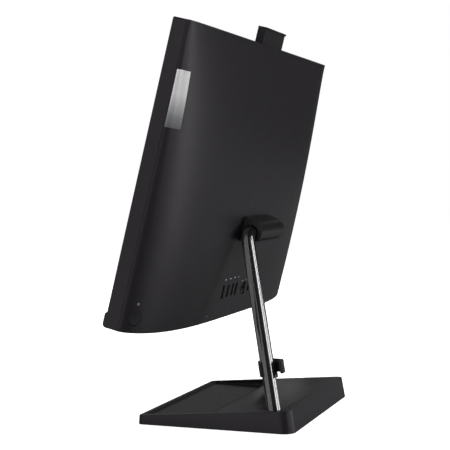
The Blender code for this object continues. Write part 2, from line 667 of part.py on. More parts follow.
def make_hinge(pivot):
    """Housing on the cover's back, and inside it the bracket whose lugs carry the shaft."""

    def along_x(deep, down, x):
        return screen(x, down, deep)

    side = HOUSING_HALF_WIDTH
    housing = prism("hinge_housing", housing_outline(0.0), -side, side, along_x, "hinge_black", pivot, 30)
    side -= HOUSING_WALL
    room = prism("housing_room", housing_outline(HOUSING_WALL), -side, side, along_x, parent=pivot)
    mouth = rod("housing_mouth", (0.035, 0, 0), (0.060, 0, 0), TUBE_RADIUS + 0.0010, 28, parent=pivot)
    cut(housing, room, mouth)

    plate = ((-0.060, 0.060), (0.185, 0.2335), (0.0129, 0.0154))
    bracket = screen_box("hinge_bracket", *plate, "sheet_steel", pivot)
    for number, (low, high) in enumerate(((-LUG_OUTER_X, -LUG_INNER_X), (LUG_INNER_X, LUG_OUTER_X))):
        round_end = arc((HINGE_DEEP, HINGE_DOWN), LUG_RADIUS, -pi / 2, pi / 2, 10)
        outline = [(0.0140, HINGE_DOWN - LUG_RADIUS), *round_end, (0.0140, HINGE_DOWN + LUG_RADIUS)]
        fuse(bracket, prism(f"bracket_lug_{number + 1}", outline, low, high, along_x, parent=pivot))
    cut(bracket, rod("bracket_bore", (-0.05, 0, 0), (0.05, 0, 0), SHAFT_BORE_RADIUS, 24, parent=pivot))


def make_hinge_shaft(pivot_matrix):
    """Steel shaft fixed in the tube's end: the display turns on it, gripped by spring washers and a nut."""
    axis = Vector((1, 0, 0))
    start = pivot_matrix.translation
    profile = ((-0.0375, 0.0046), (-0.0370, SHAFT_RADIUS), (0.0370, SHAFT_RADIUS))
    profile += ((0.0370, SHAFT_IN_TUBE_RADIUS), (0.0455, SHAFT_IN_TUBE_RADIUS))
    turned("hinge_shaft", start, axis, profile, 24, "dark_steel")
    for name, low, high, radius, sides in (
        ("hinge_nut", 0.0190, 0.0225, 0.0080, 6),
        ("spring_washer", 0.0228, 0.0256, 0.0078, 24),
    ):
        ring = rod(name, start + axis * low, start + axis * high, radius, sides, "dark_steel")
        bore = rod(f"{name}_bore", start, start + axis * 0.05, SHAFT_RADIUS + GAP, 24)
        cut(ring, bore)


# ---------------------------------------------------------------- stand


def tube_route(hinge):
    """Centre line of the stand tube from its foot to its end on the hinge axis, with its bend."""
    corner = Vector((TUBE_CORNER_X, hinge.y, hinge.z))
    down = (TUBE_FOOT - corner).normalized()
    inward = Vector((-1, 0, 0))
    half_turn = (pi - down.angle(inward)) / 2
    reach = TUBE_BEND_RADIUS * tan(half_turn)
    start, end = corner + down * reach, corner + inward * reach
    centre = corner + (down + inward).normalized() * (TUBE_BEND_RADIUS / cos(half_turn))
    first, last = start - centre, end - centre
    steps = 8
    bend = []
    for step in range(steps + 1):
        share = step / steps
        whole = first.angle(last)
        mixed = (first * sin((1 - share) * whole) + last * sin(share * whole)) / sin(whole)
        bend.append(centre + mixed)
    foot = TUBE_FOOT + down * TUBE_BELOW_FOOT
    return [foot, *bend, Vector((TUBE_END_X, hinge.y, hinge.z))], down


def make_tube(hinge):
    route, down = tube_route(hinge)
    flat = down.cross(Vector((1, 0, 0))).normalized()
    count = 24
    angles = [2 * pi * k / count for k in range(count)]

    def rings_of(radius):
        rings = []
        for i, point in enumerate(route):
            before, after = route[max(i - 1, 0)], route[min(i + 1, len(route) - 1)]
            side = (after - before).normalized().cross(flat).normalized()
            rings.append([point + flat * radius * cos(a) + side * radius * sin(a) for a in angles])
        return rings

    rings = rings_of(TUBE_RADIUS) + list(reversed(rings_of(TUBE_BORE_RADIUS)))
    vertices = [point for ring in rings for point in ring]
    faces = []
    for row in range(len(rings)):
        after = (row + 1) % len(rings)
        for i in range(count):
            k = (i + 1) % count
            faces.append((row * count + i, row * count + k, after * count + k, after * count + i))
    add_mesh("stand_tube", vertices, faces, "tube_black", smooth=40)
    return down


def make_clip(down):
    """Clamp round the tube with a hook for cables, both open towards +X."""
    up = -down
    across = (Vector((1, 0, 0)) - up * up.x).normalized()
    rear = up.cross(across)
    middle = TUBE_FOOT + up * CLIP_UP_TUBE
    frame = Matrix((across, rear, up)).transposed().to_4x4()
    slider = add_empty("clip_slide", Matrix.Translation(middle) @ frame)
    inner, outer = TUBE_RADIUS + GAP, TUBE_RADIUS + GAP + CLIP_WALL

    def level(a, b, rise):
        """A place round the tube whose height is level with the table."""
        return Vector((a, b, (rise - across.z * a - rear.z * b) / up.z))

    low, high = CLIP_MOUTH
    outline = arc((0, 0), outer, high, low + 2 * pi, 26) + arc((0, 0), inner, low + 2 * pi, high, 26)
    clip = prism("cable_clip", outline, -CLIP_HALF_HEIGHT, CLIP_HALF_HEIGHT, level, "clip_black", slider, 40)
    hook_outline = [(-0.0080, 0.0045), (-0.0080, 0.0162), (-0.0075, 0.0176), (-0.0062, 0.0182)]
    hook_outline += [(0.0060, 0.0182), (0.0060, 0.0159), (-0.0056, 0.0159), (-0.0056, 0.0070)]
    hook = prism("clip_hook", hook_outline, HOOK_LOW, HOOK_HIGH, level, parent=slider)
    fuse(clip, hook)


# ---------------------------------------------------------------- base


def base_top(y):
    return BASE_TOP_HEIGHT + BASE_TOP_SLOPE * y


def upright(x, y, z):
    return Vector((x, y, z))


def base_rings():
    """The base's outline at its bottom edge, its widest level and its sloping top.

    The corner on the tube's side is rounder than the other rear corner.
    """
    half, deep = BASE_HALF_WIDTH, BASE_HALF_DEPTH
    loops = (
        (half - 0.0003, -deep + 0.0008, deep - 0.0002, (0.004, 0.004, 0.015, 0.006), lambda y: BASE_BOTTOM),
        (half, -deep, deep, (0.005, 0.005, 0.016, 0.006), lambda y: BASE_WIDEST),
        (half - 0.0006, -deep + 0.0004, BASE_REAR_TOP_Y, (0.005, 0.005, 0.014, 0.011), base_top),
    )
    rings = []
    for side, front, rear, corners, height in loops:
        outline = rounded_rectangle(-side, side, front, rear, corners)
        rings.append([Vector((x, y, height(y))) for x, y in outline])
    return rings


def make_base_shell(down):
    shell = loft("base_shell", base_rings(), "casing_black", smooth=30)
    bevel(shell, 0.0007, 2, 50)
    tray_corners = (0.003, 0.003, 0, 0)
    outline = rounded_rectangle(-TRAY_HALF_WIDTH, TRAY_HALF_WIDTH, TRAY_FRONT, TRAY_REAR, tray_corners, 3)
    tray = prism("tray_room", outline, TRAY_FLOOR, 0.05, upright)
    inner_x = BASE_HALF_WIDTH - 0.0031
    outline = rounded_rectangle(-inner_x, inner_x, -0.0865, 0.0005, tray_corners, 2)
    front_room = prism("base_front_room", outline, -0.01, TRAY_FLOOR - BASE_WALL, upright)
    outline = rounded_rectangle(-inner_x, inner_x, TRAY_REAR + BASE_WALL, 0.0860, (0, 0, 0.010, 0.010), 3)
    room_rings = [
        [Vector((x, y, -0.01)) for x, y in outline],
        [Vector((x, y, base_top(y) - BASE_WALL)) for x, y in outline],
    ]
    rear_room = loft("base_rear_room", room_rings)
    tube_hole = rod("tube_hole", TUBE_FOOT + down * 0.012, TUBE_FOOT - down * 0.012, TUBE_RADIUS + 0.0004, 28)
    cut(shell, tray, front_room, rear_room, tube_hole)
    for number, (x, y) in enumerate(SCREW_SPOTS):
        boss = rod(f"boss_{number + 1}", (x, y, 0.0050), (x, y, base_top(y) - 0.001), 0.0038, 12)
        hole = rod(f"boss_hole_{number + 1}", (x, y, 0.0030), (x, y, 0.0125), 0.0019, 10)
        fuse(shell, boss)
        cut(shell, hole)


def make_base_inside(down):
    """Tray mat, bottom plate with its screws, weight, and the socket that holds the tube's foot."""

    def block(name, x, y, z, slot, corner):
        outline = rounded_rectangle(*x, *y, (corner,) * 4, 2)
        return prism(name, outline, *z, upright, slot)

    mat_x = TRAY_HALF_WIDTH - 0.0008
    mat_y = (TRAY_FRONT + 0.0008, TRAY_REAR - 0.0008)
    block("tray_mat", (-mat_x, mat_x), mat_y, (TRAY_FLOOR + GAP, TRAY_FLOOR + 0.0013), "mat_grey", 0.0022)
    plate = block("base_plate", (-0.1246, 0.1246), (-0.0860, 0.0852), (0.0016, 0.0031), "dark_steel", 0.0095)
    block("base_weight", (-0.110, 0.110), (0.004, 0.072), (0.0035, 0.0076), "dark_steel", 0.004)
    for number, (x, y) in enumerate(SCREW_SPOTS):
        cut(plate, rod(f"plate_hole_{number + 1}", (x, y, -0.01), (x, y, 0.01), 0.0036, 14))
        profile = ((0.0, 0.0028), (0.0003, 0.0032), (0.0014, 0.0032), (0.0014, 0.0015), (0.0095, 0.0015))
        turned(f"base_screw_{number + 1}", (x, y, 0.0016), (0, 0, 1), profile, 12, "dark_steel")
    socket = block("tube_socket", (0.0980, 0.1246), (0.0560, 0.0738), (0.0080, 0.0195), "dark_steel", 0.001)
    cut(socket, rod("socket_bore", TUBE_FOOT + down * 0.04, TUBE_FOOT - down * 0.02, TUBE_RADIUS + GAP, 24))


def make_feet():
    for number, (side_x, side_y) in enumerate(((-1, -1), (1, -1), (1, 1), (-1, 1))):
        spot = (side_x * FOOT_X, side_y * FOOT_Y, 0)
        profile = ((0, FOOT_RADIUS - 0.0004), (0.0004, FOOT_RADIUS), (FOOT_HEIGHT + 0.0001, FOOT_RADIUS))
        turned(f"rubber_foot_{number + 1}", spot, (0, 0, 1), profile, 20, "rubber_black")


# ---------------------------------------------------------------- assembly


def main():
    clear_scene()
    matrix = hinge_matrix()
    pivot = add_empty("display_pivot", matrix)
    frame = make_mid_frame(pivot)
    make_chin_bar(pivot)
    make_screen(pivot)
    cover, camera_slot = make_rear_cover(pivot)
    cut(frame, camera_slot)
    outer_form = cover_solid("cover_form", 0.0, SEAM_DEPTH, 28, parent=pivot)
    make_button_and_light(pivot, cover, outer_form)
    make_badge(pivot, cover)
    make_camera(pivot)
    make_ports(pivot)
    make_fan(pivot)
    make_electronics(pivot)
    make_hinge(pivot)
    make_hinge_shaft(matrix)
    down = make_tube(matrix.translation)
    make_clip(down)
    make_base_shell(down)
    make_base_inside(down)
    make_feet()


main()
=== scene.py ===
"""Looks of the all-in-one desktop computer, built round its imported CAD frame.

Metres, +Z up, the screen facing -Y. A place on the display is given as x, down (along the screen from
its top edge) and deep (behind its front face), as in the CAD source.
"""

import json
from math import asin, atan2, cos, pi, radians, sin, sqrt, tan

import bmesh
import bpy
from mathutils import Matrix, Vector


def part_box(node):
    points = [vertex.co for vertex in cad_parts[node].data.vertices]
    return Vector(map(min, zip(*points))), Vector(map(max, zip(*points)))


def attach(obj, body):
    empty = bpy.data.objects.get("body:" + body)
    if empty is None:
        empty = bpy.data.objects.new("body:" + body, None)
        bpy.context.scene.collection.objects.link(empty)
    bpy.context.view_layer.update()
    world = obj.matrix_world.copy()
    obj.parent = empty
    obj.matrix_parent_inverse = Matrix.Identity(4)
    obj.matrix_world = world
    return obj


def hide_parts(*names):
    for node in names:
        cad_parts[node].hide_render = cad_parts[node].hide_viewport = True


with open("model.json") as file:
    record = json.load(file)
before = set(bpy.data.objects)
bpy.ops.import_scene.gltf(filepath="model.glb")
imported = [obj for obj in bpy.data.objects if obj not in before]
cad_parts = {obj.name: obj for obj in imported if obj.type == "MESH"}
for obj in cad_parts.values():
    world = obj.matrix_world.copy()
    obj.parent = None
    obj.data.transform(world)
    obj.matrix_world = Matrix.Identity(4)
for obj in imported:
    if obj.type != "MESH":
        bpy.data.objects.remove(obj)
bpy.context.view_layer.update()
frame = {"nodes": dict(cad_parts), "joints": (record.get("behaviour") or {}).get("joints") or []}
joints = {joint["name"]: joint for joint in frame["joints"]}

X = Vector((1, 0, 0))
Z = Vector((0, 0, 1))
CLEAR = 0.0003  # gap that resting pieces keep

# The display leans back along the line that the camera slides on
SLIDE = Vector(joints["camera_slide"]["axis"])
TILT = atan2(SLIDE.y, SLIDE.z)
DOWN = Vector((0, -sin(TILT), -cos(TILT)))
BACK = Vector((0, cos(TILT), -sin(TILT)))
HINGE = Vector(joints["display_tilt"]["pos_m"])


# ---- places


def corners(node):
    return [vertex.co for vertex in frame["nodes"][node].data.vertices]


TOP = min(point.dot(DOWN) for point in corners("mid_frame"))
FRONT = min(point.dot(BACK) for point in corners("front_bezel"))


def screen(x, down, deep):
    return X * x + DOWN * (TOP + down) + BACK * (FRONT + deep)


def on_display(point):
    """The x, down and deep of a point."""
    return Vector((point.x, point.dot(DOWN) - TOP, point.dot(BACK) - FRONT))


def display_box(node):
    """Lowest and highest x, down and deep of a CAD node on the display."""
    places = [on_display(point) for point in corners(node)]
    return Vector(map(min, zip(*places))), Vector(map(max, zip(*places)))


FRAME_LOW, FRAME_HIGH = display_box("mid_frame")
HALF_WIDTH = FRAME_HIGH.x
HEIGHT = FRAME_HIGH.y
CHIN_PROUD = -FRAME_LOW.z
FRAME_DEPTH = FRAME_HIGH.z
SEAM = display_box("rear_cover")[0].z
CHIN_TOP = display_box("chin_bar")[0].y - 0.0006

# Form of the rear cover
TOP_SWELL, BOTTOM_SWELL, SWELL_POWER = 0.010, 0.038, 2.7
SIDE_POWER_TOP, SIDE_POWER_GAIN = 0.22, 0.38
TOP_EDGE, BOTTOM_EDGE = 0.0015, 0.0012
COVER_WALL = 0.0025
COLUMN_POWER = 2.6  # how closely the cover's columns gather towards its sides


def rounding(distance, radius):
    """How far a rounded edge falls back at this distance from the edge."""
    inside = max(radius - distance, 0.0)
    return radius - sqrt(max(radius**2 - inside**2, 0.0))


def cover_deep(x, down, inset=0.0):
    """Depth of the rear cover's outer surface, or of the surface this far inside it."""
    across = min(abs(x) / (HALF_WIDTH - inset), 1.0)
    fall = min(max(down / HEIGHT, 0.0), 1.0)
    swell = TOP_SWELL + (BOTTOM_SWELL - TOP_SWELL) * (1 - (1 - fall) ** SWELL_POWER) - inset
    swell -= rounding(down - inset, TOP_EDGE) + rounding(HEIGHT - inset - down, BOTTOM_EDGE)
    return SEAM + swell * (1 - across**4) ** (SIDE_POWER_TOP + SIDE_POWER_GAIN * fall**0.25)


def cover_slopes(x, down):
    """How fast the cover's depth changes along x and along down."""
    step = 1e-5
    near_edge = HALF_WIDTH * 0.9999
    x = min(max(x, -near_edge), near_edge)
    down = min(max(down, 3 * step), HEIGHT - 3 * step)
    fall = down / HEIGHT
    across = abs(x) / HALF_WIDTH
    power = SIDE_POWER_TOP + SIDE_POWER_GAIN * fall**0.25
    slope_x = (cover_deep(x, down) - SEAM) * power * -4 * across**3 / ((1 - across**4) * HALF_WIDTH)
    slope_down = (cover_deep(x, down + step) - cover_deep(x, down - step)) / (2 * step)
    return (slope_x if x >= 0 else -slope_x), slope_down


def cover_normal(x, down):
    slope_x, slope_down = cover_slopes(x, down)
    return (BACK - X * slope_x - DOWN * slope_down).normalized()


def cover_x(turn, inset=0.0):
    """x at turn -1..1 across the cover, with the columns gathered towards the two sides."""
    x = (HALF_WIDTH - inset) * (1 - (1 - abs(turn)) ** COLUMN_POWER)
    return x if turn >= 0 else -x


def on_cover(x, down, lift=0.0):
    return screen(x, down, cover_deep(x, down)) + cover_normal(x, down) * lift


def slide_to_cover(point, out):
    """The place where the line through point along out meets the cover."""
    for _ in range(6):
        x, down, deep = on_display(point)
        slope_x, slope_down = cover_slopes(x, down)
        lean = out.dot(BACK) - out.x * slope_x - out.dot(DOWN) * slope_down
        point = point - out * ((deep - cover_deep(x, down)) / lean)
    return point


# ---- mesh helpers


def add_mesh(name, vertices, faces, finish=None, smooth=35):
    """A closed mesh; finish is a key of SURFACE, and smooth its sharp-edge angle in degrees."""
    work = bmesh.new()
    made = [work.verts.new(vertex) for vertex in vertices]
    for face in faces:
        work.faces.new([made[index] for index in face])
    bmesh.ops.remove_doubles(work, verts=work.verts, dist=1e-7)
    bmesh.ops.recalc_face_normals(work, faces=work.faces)
    mesh = bpy.data.meshes.new(name)
    work.to_mesh(mesh)
    work.free()
    mesh.shade_smooth()
    mesh.set_sharp_from_angle(angle=radians(smooth))
    obj = bpy.data.objects.new(name, mesh)
    bpy.context.scene.collection.objects.link(obj)
    if finish:
        mesh.materials.append(SURFACE[finish])
    return obj


def loft(name, rings, finish=None, smooth=35, closed=False):
    """A solid through rings of equal point counts: capped at both ends, or closed on itself."""
    count = len(rings[0])
    vertices = [point for ring in rings for point in ring]
    rows = len(rings) if closed else len(rings) - 1
    faces = []
    if not closed:
        last = (len(rings) - 1) * count
        faces = [tuple(range(count)), tuple(last + i for i in range(count))]
    for row in range(rows):
        after = (row + 1) % len(rings)
        for i in range(count):
            k = (i + 1) % count
            faces.append((row * count + i, row * count + k, after * count + k, after * count + i))
    return add_mesh(name, vertices, faces, finish, smooth)


def prism(name, outline, low, high, place, finish=None, smooth=35):
    """The flat outline carried from low to high; place(a, b, height) turns it into a point."""
    rings = [[place(a, b, height) for a, b in outline] for height in (low, high)]
    return loft(name, rings, finish, smooth)


def circle(centre, axis, radius, count):
    turn = Vector(axis).to_track_quat("Z", "Y")
    angles = [2 * pi * i / count for i in range(count)]
    return [Vector(centre) + turn @ Vector((radius * cos(a), radius * sin(a), 0)) for a in angles]


def turned(name, start, axis, profile, finish=None, count=48, closed=False):
    """A solid turned about an axis, through (distance along it, radius) pairs."""
    axis = Vector(axis).normalized()
    rings = [circle(Vector(start) + axis * along, axis, radius, count) for along, radius in profile]
    return loft(name, rings, finish, closed=closed)


def rod(name, start, end, radius, finish=None, count=48):
    axis = Vector(end) - Vector(start)
    return turned(name, start, axis, ((0, radius), (axis.length, radius)), finish, count)


def arc(centre, radius, start, end, steps):
    angles = [start + (end - start) * step / steps for step in range(steps + 1)]
    return [(centre[0] + radius * cos(a), centre[1] + radius * sin(a)) for a in angles]


def rounded_rectangle(low, high, radii=0, steps=6):
    """One radius, or four in the order low low, high low, high high, low high."""
    outline = []
    for quarter, (inward_a, inward_b) in enumerate(((1, 1), (-1, 1), (-1, -1), (1, -1))):
        a = low[0] if inward_a > 0 else high[0]
        b = low[1] if inward_b > 0 else high[1]
        radius = radii[quarter] if isinstance(radii, tuple) else radii
        if radius == 0:
            outline.append((a, b))
            continue
        start = pi + quarter * pi / 2
        outline += arc((a + inward_a * radius, b + inward_b * radius), radius, start, start + pi / 2, steps)
    return outline


def apply_modifiers(obj):
    bpy.context.view_layer.update()
    evaluated = obj.evaluated_get(bpy.context.evaluated_depsgraph_get())
    mesh = bpy.data.meshes.new_from_object(evaluated)
    obj.modifiers.clear()
    old = obj.data
    obj.data = mesh
    bpy.data.meshes.remove(old)
    mesh.name = obj.name
    return obj


def combine(obj, others, operation):
    for other in others:
        modifier = obj.modifiers.new(other.name, "BOOLEAN")
        modifier.operation = operation
        modifier.solver = "EXACT"
        modifier.object = other
    apply_modifiers(obj)
    for other in others:
        bpy.data.objects.remove(other, do_unlink=True)
    return obj


def cut(obj, *others):
    return combine(obj, others, "DIFFERENCE")


def fuse(obj, *others):
    return combine(obj, others, "UNION")


def bevel(obj, width, segments=3, angle=32):
    """Rounds the sharp edges and keeps the flat faces flat in the shading."""
    modifier = obj.modifiers.new("Bevel", "BEVEL")
    modifier.width = width
    modifier.segments = segments
    modifier.limit_method = "ANGLE"
    modifier.angle_limit = radians(angle)
    modifier.harden_normals = True
    modifier.use_clamp_overlap = True
    obj.data.shade_smooth()
    return apply_modifiers(obj)


def joined(name, pieces):
    """Separate closed forms of one finish each, kept as one object."""
    work = bmesh.new()
    finishes = []
    for piece in pieces:
        first = len(work.faces)
        work.from_mesh(piece.data)
        work.faces.ensure_lookup_table()
        for finish in piece.data.materials:
            if finish not in finishes:
                finishes.append(finish)
            for face in work.faces[first:]:
                face.material_index = finishes.index(finish)
    mesh = bpy.data.meshes.new(name)
    work.to_mesh(mesh)
    work.free()
    for finish in finishes:
        mesh.materials.append(finish)
    for piece in pieces:
        bpy.data.objects.remove(piece, do_unlink=True)
    obj = bpy.data.objects.new(name, mesh)
    bpy.context.scene.collection.objects.link(obj)
    return obj


def settle(piece, body, slot, *nodes):
    """Fixes a finished piece to its body, and hides the CAD nodes that it stands for."""
    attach(piece, body)
    if nodes:
        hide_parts(*nodes)
    return piece


def block(name, x, down, deep, finish=None, edge=0.0):
    """A block on the display between pairs of x, down and deep, with rounded edges."""
    made = prism(name, rounded_rectangle(*zip(x, down)), *deep, screen, finish)
    return bevel(made, edge, 2) if edge else made


def node_block(name, node, finish, edge=0.0):
    """A block that fills the box of a CAD node on the display."""
    return block(name, *zip(*display_box(node)), finish, edge)


# ---- finishes


class Finish:
    """A Principled material whose nodes are added by short calls."""

    def __init__(self, name, colour, roughness, metallic=0.0, **constants):
        self.material = bpy.data.materials.new(name)
        self.material.use_nodes = True
        self.tree = self.material.node_tree
        self.shader = self.tree.nodes["Principled BSDF"]
        self.colour = Vector(colour)
        self.roughness = roughness
        constants |= {"Base_Color": (*colour, 1), "Roughness": roughness, "Metallic": metallic}
        for socket, value in constants.items():
            self.shader.inputs[socket.replace("_", " ")].default_value = value
        self.material.diffuse_color = (*colour, 1)
        self.place = self.tree.nodes.new("ShaderNodeTexCoord").outputs["Object"]
        self.bumped = None

    def node(self, kind, inputs=None, **settings):
        made = self.tree.nodes.new(kind)
        for setting, value in settings.items():
            setattr(made, setting, value)
        for socket, value in (inputs or {}).items():
            if isinstance(value, bpy.types.NodeSocket):
                self.tree.links.new(value, made.inputs[socket])
            else:
                made.inputs[socket].default_value = value
        return made

    def stretched(self, scale):
        return self.node("ShaderNodeMapping", {"Vector": self.place, "Scale": scale}).outputs["Vector"]

    def noise(self, scale, detail, place=None):
        inputs = {"Vector": place or self.place, "Scale": scale, "Detail": detail}
        return self.node("ShaderNodeTexNoise", inputs).outputs["Fac"]

    def spread(self, value, low, high, start=0.35, end=0.65):
        """Carries start..end over to low..high."""
        inputs = {"Value": value, "From Min": start, "From Max": end, "To Min": low, "To Max": high}
        return self.node("ShaderNodeMapRange", inputs).outputs["Result"]

    def along(self, direction):
        """How far a place lies along a direction."""
        made = self.node("ShaderNodeVectorMath", {0: self.place, 1: direction}, operation="DOT_PRODUCT")
        return made.outputs["Value"]

    def ramp(self, value, stops):
        made = self.node("ShaderNodeValToRGB", {"Fac": value})
        elements = made.color_ramp.elements
        while len(elements) < len(stops):
            elements.new(0.5)
        for element, (place, colour) in zip(elements, stops):
            element.position = place
            element.color = (*colour, 1)
        return made.outputs["Color"]

    def tint(self, value, darker, lighter):
        """Lets the colour drift with a pattern value."""
        stops = ((0.3, self.colour * darker), (0.7, self.colour * lighter))
        self.paint(self.ramp(value, stops))

    def paint(self, colour):
        self.tree.links.new(colour, self.shader.inputs["Base Color"])

    def gloss(self, value, change):
        """Lets the roughness drift by this much either way."""
        result = self.spread(value, self.roughness - change, self.roughness + change)
        self.tree.links.new(result, self.shader.inputs["Roughness"])

    def bump(self, value, depth):
        inputs = {"Height": value, "Distance": depth, "Strength": 1.0}
        if self.bumped:
            inputs["Normal"] = self.bumped
        self.bumped = self.node("ShaderNodeBump", inputs).outputs["Normal"]
        self.tree.links.new(self.bumped, self.shader.inputs["Normal"])


def grained(name, colour, roughness, tint=None, gloss=None, bump=None, **constants):
    """Uneven colour, roughness and relief, each from its own noise as (scale, detail, amounts...)."""
    finish = Finish(name, colour, roughness, **constants)
    for change, pattern in ((finish.tint, tint), (finish.gloss, gloss), (finish.bump, bump)):
        if pattern:
            scale, detail, *amounts = pattern
            change(finish.noise(scale, detail), *amounts)
    return finish


def moulded(name, colour, roughness):
    """Moulded plastic with a fine eroded grain and a slightly uneven gloss."""
    tint, gloss, grain = (26, 3, 0.97, 1.03), (60, 4, 0.010), (2000, 2, 0.000006)
    return grained(name, colour, roughness, tint, gloss, grain, Specular_Tint=(0.98, 0.91, 1.0, 1))


def brushed(name, colour, roughness):
    """Metal drawn or brushed along one direction."""
    finish = Finish(name, colour, roughness, 1.0)
    lines = finish.noise(60, 3, finish.stretched((1, 40, 40)))
    finish.tint(lines, 0.82, 1.14)
    finish.gloss(lines, 0.07)
    finish.bump(lines, 0.000004)
    return finish


def rubber_finish():
    tint, gloss, grain = (40, 4, 0.85, 1.2), (300, 3, 0.08), (2600, 3, 0.00002)
    return grained("foot_rubber", (0.017, 0.017, 0.017), 0.78, tint, gloss, grain)


def tube_finish():
    """Dark polished steel with a faint drawn texture along the tube."""
    finish = Finish("polished_tube", (0.34, 0.34, 0.345), 0.13, 0.9)
    drawn = finish.noise(90, 3, finish.stretched((14, 14, 1)))
    finish.tint(drawn, 0.8, 1.25)
    finish.gloss(drawn, 0.02)
    finish.bump(finish.noise(1400, 2), 0.0000008)
    return finish


def badge_finish():
    """Satin silver with a painted reflection: bright at the top, fading to painted shade at the bottom."""
    low, high = display_box("badge_plate")
    finish = Finish("badge_metal", (0.6, 0.6, 0.61), 0.40, 0.28)
    # Painted reflection and painted shade: the colour falls from near white at the top to dark grey at the
    # bottom
    fall = finish.spread(finish.along(DOWN), 0, 1, TOP + low.y, TOP + high.y)
    stops = [(0.0, (0.99, 0.99, 1.0)), (0.42, (0.90, 0.90, 0.91)), (0.8, (0.30, 0.30, 0.306))]
    stops.append((1.0, (0.16, 0.16, 0.165)))
    lines = finish.noise(70, 3, finish.stretched((40, 40, 1)))
    inputs = {0: 1.0, 6: finish.ramp(fall, stops), 7: finish.spread(lines, 0.92, 1.06)}
    painted_sheen_brushed = finish.node("ShaderNodeMix", inputs, data_type="RGBA", blend_type="MULTIPLY")
    finish.paint(painted_sheen_brushed.outputs[2])
    finish.gloss(lines, 0.04)
    finish.bump(lines, 0.000002)
    return finish


def panel_finish():
    """Anti-glare screen: near black, with a very fine sparkle."""
    colour, gloss, sparkle = (0.0045, 0.005, 0.0062), (500, 2, 0.03), (4200, 1, 0.000002)
    return grained("screen_antiglare", colour, 0.24, None, gloss, sparkle, IOR=1.5)


def grille_finish():
    """Speaker bar with rows of small round holes: bump dents with painted shade inside them."""
    finish = moulded("chin_grille", (0.020, 0.0195, 0.021), 0.5)
    pitch = 0.0018
    waves = []
    for direction in (X, DOWN):
        inputs = {0: finish.along(direction), 1: 2 * pi / pitch}
        angle = finish.node("ShaderNodeMath", inputs, operation="MULTIPLY")
        wave = finish.node("ShaderNodeMath", {0: angle.outputs[0]}, operation="COSINE")
        waves.append(wave.outputs[0])
    both = finish.node("ShaderNodeMath", {0: waves[0], 1: waves[1]}, operation="ADD").outputs[0]
    hole = finish.spread(both, 0, 1, 0.9, 1.2)
    # Painted shade: the holes are coloured near black
    finish.paint(finish.ramp(hole, ((0.0, finish.colour), (1.0, (0.002, 0.002, 0.002)))))
    finish.bump(finish.spread(both, 1, 0, 0.9, 1.2), 0.0003)
    return finish


def board_finish():
    """Circuit board: green lacquer over copper tracks."""
    finish = Finish("circuit_board", (0.012, 0.085, 0.040), 0.38)
    inputs = {"Vector": finish.place, "Scale": 160, "Mortar Size": 0.09, "Mortar": (0.030, 0.170, 0.075, 1)}
    inputs |= {"Color1": (0.012, 0.085, 0.040, 1), "Color2": (0.016, 0.110, 0.052, 1)}
    tracks = finish.node("ShaderNodeTexBrick", inputs)
    finish.paint(tracks.outputs["Color"])
    finish.gloss(finish.noise(50, 3), 0.05)
    finish.bump(tracks.outputs["Fac"], 0.00003)
    return finish


def mat_finish():
    """Soft-touch tray insert with a fine leather-like grain."""
    colour, grain = (0.0240, 0.0230, 0.0250), (1900, 3, 0.000012)
    return grained("tray_insert", colour, 0.50, (30, 3, 0.94, 1.06), (220, 3, 0.04), grain)


def glass_finish():
    coat = {"IOR": 1.52, "Coat_Weight": 1.0, "Coat_Roughness": 0.03}
    return grained("lens_glass", (0.004, 0.005, 0.009), 0.05, (120, 2, 0.7, 1.4), **coat)


FINISHES = {  # the CAD frame's slots, then what only the looks have
    "casing_black": moulded("casing_plastic", (0.0180, 0.0163, 0.0187), 0.42),
    "hinge_black": moulded("hinge_plastic", (0.0175, 0.0170, 0.0182), 0.36),
    "tube_black": tube_finish(),
    "clip_black": moulded("clip_plastic", (0.0140, 0.0135, 0.0145), 0.30),
    "bezel_black": moulded("bezel_plastic", (0.0130, 0.0128, 0.0136), 0.45),
    "screen_dark": panel_finish(),
    "badge_silver": badge_finish(),
    "light_white": grained("light_ring", (0.46, 0.46, 0.47), 0.42, (900, 2, 0.9, 1.1)),
    "port_metal": brushed("port_shell", (0.20, 0.20, 0.205), 0.36),
    "sheet_steel": brushed("sheet_steel", (0.48, 0.49, 0.50), 0.36),
    "dark_steel": brushed("dark_steel", (0.14, 0.14, 0.145), 0.42),
    "board_green": board_finish(),
    "copper": brushed("copper", (0.66, 0.31, 0.17), 0.28),
    "fin_aluminium": brushed("fin_aluminium", (0.66, 0.67, 0.68), 0.33),
    "fan_black": moulded("fan_plastic", (0.018, 0.018, 0.019), 0.46),
    "rubber_black": rubber_finish(),
    "mat_grey": mat_finish(),
    "lens_glass": glass_finish(),
    # Near black: the colour of black plastic parts, and painted shade on socket floors and microphone dots
    "soot": moulded("socket_black", (0.004, 0.004, 0.004), 0.6),
    "gold": brushed("contact_gold", (0.80, 0.56, 0.20), 0.25),
    "mark": moulded("mark_paint", (0.80, 0.80, 0.81), 0.6),
    "chip": moulded("chip_resin", (0.015, 0.015, 0.016), 0.5),
    "tin": brushed("component_tin", (0.62, 0.62, 0.60), 0.3),
    "socket_steel": brushed("socket_steel", (0.30, 0.30, 0.31), 0.34),
    "grille": grille_finish(),
}
SURFACE = {name: finish.material for name, finish in FINISHES.items()}

for node in frame["nodes"].values():
    for material_slot in node.material_slots:
        material_slot.material = SURFACE[material_slot.material.name.split(".")[0]]


# ---- rear cover


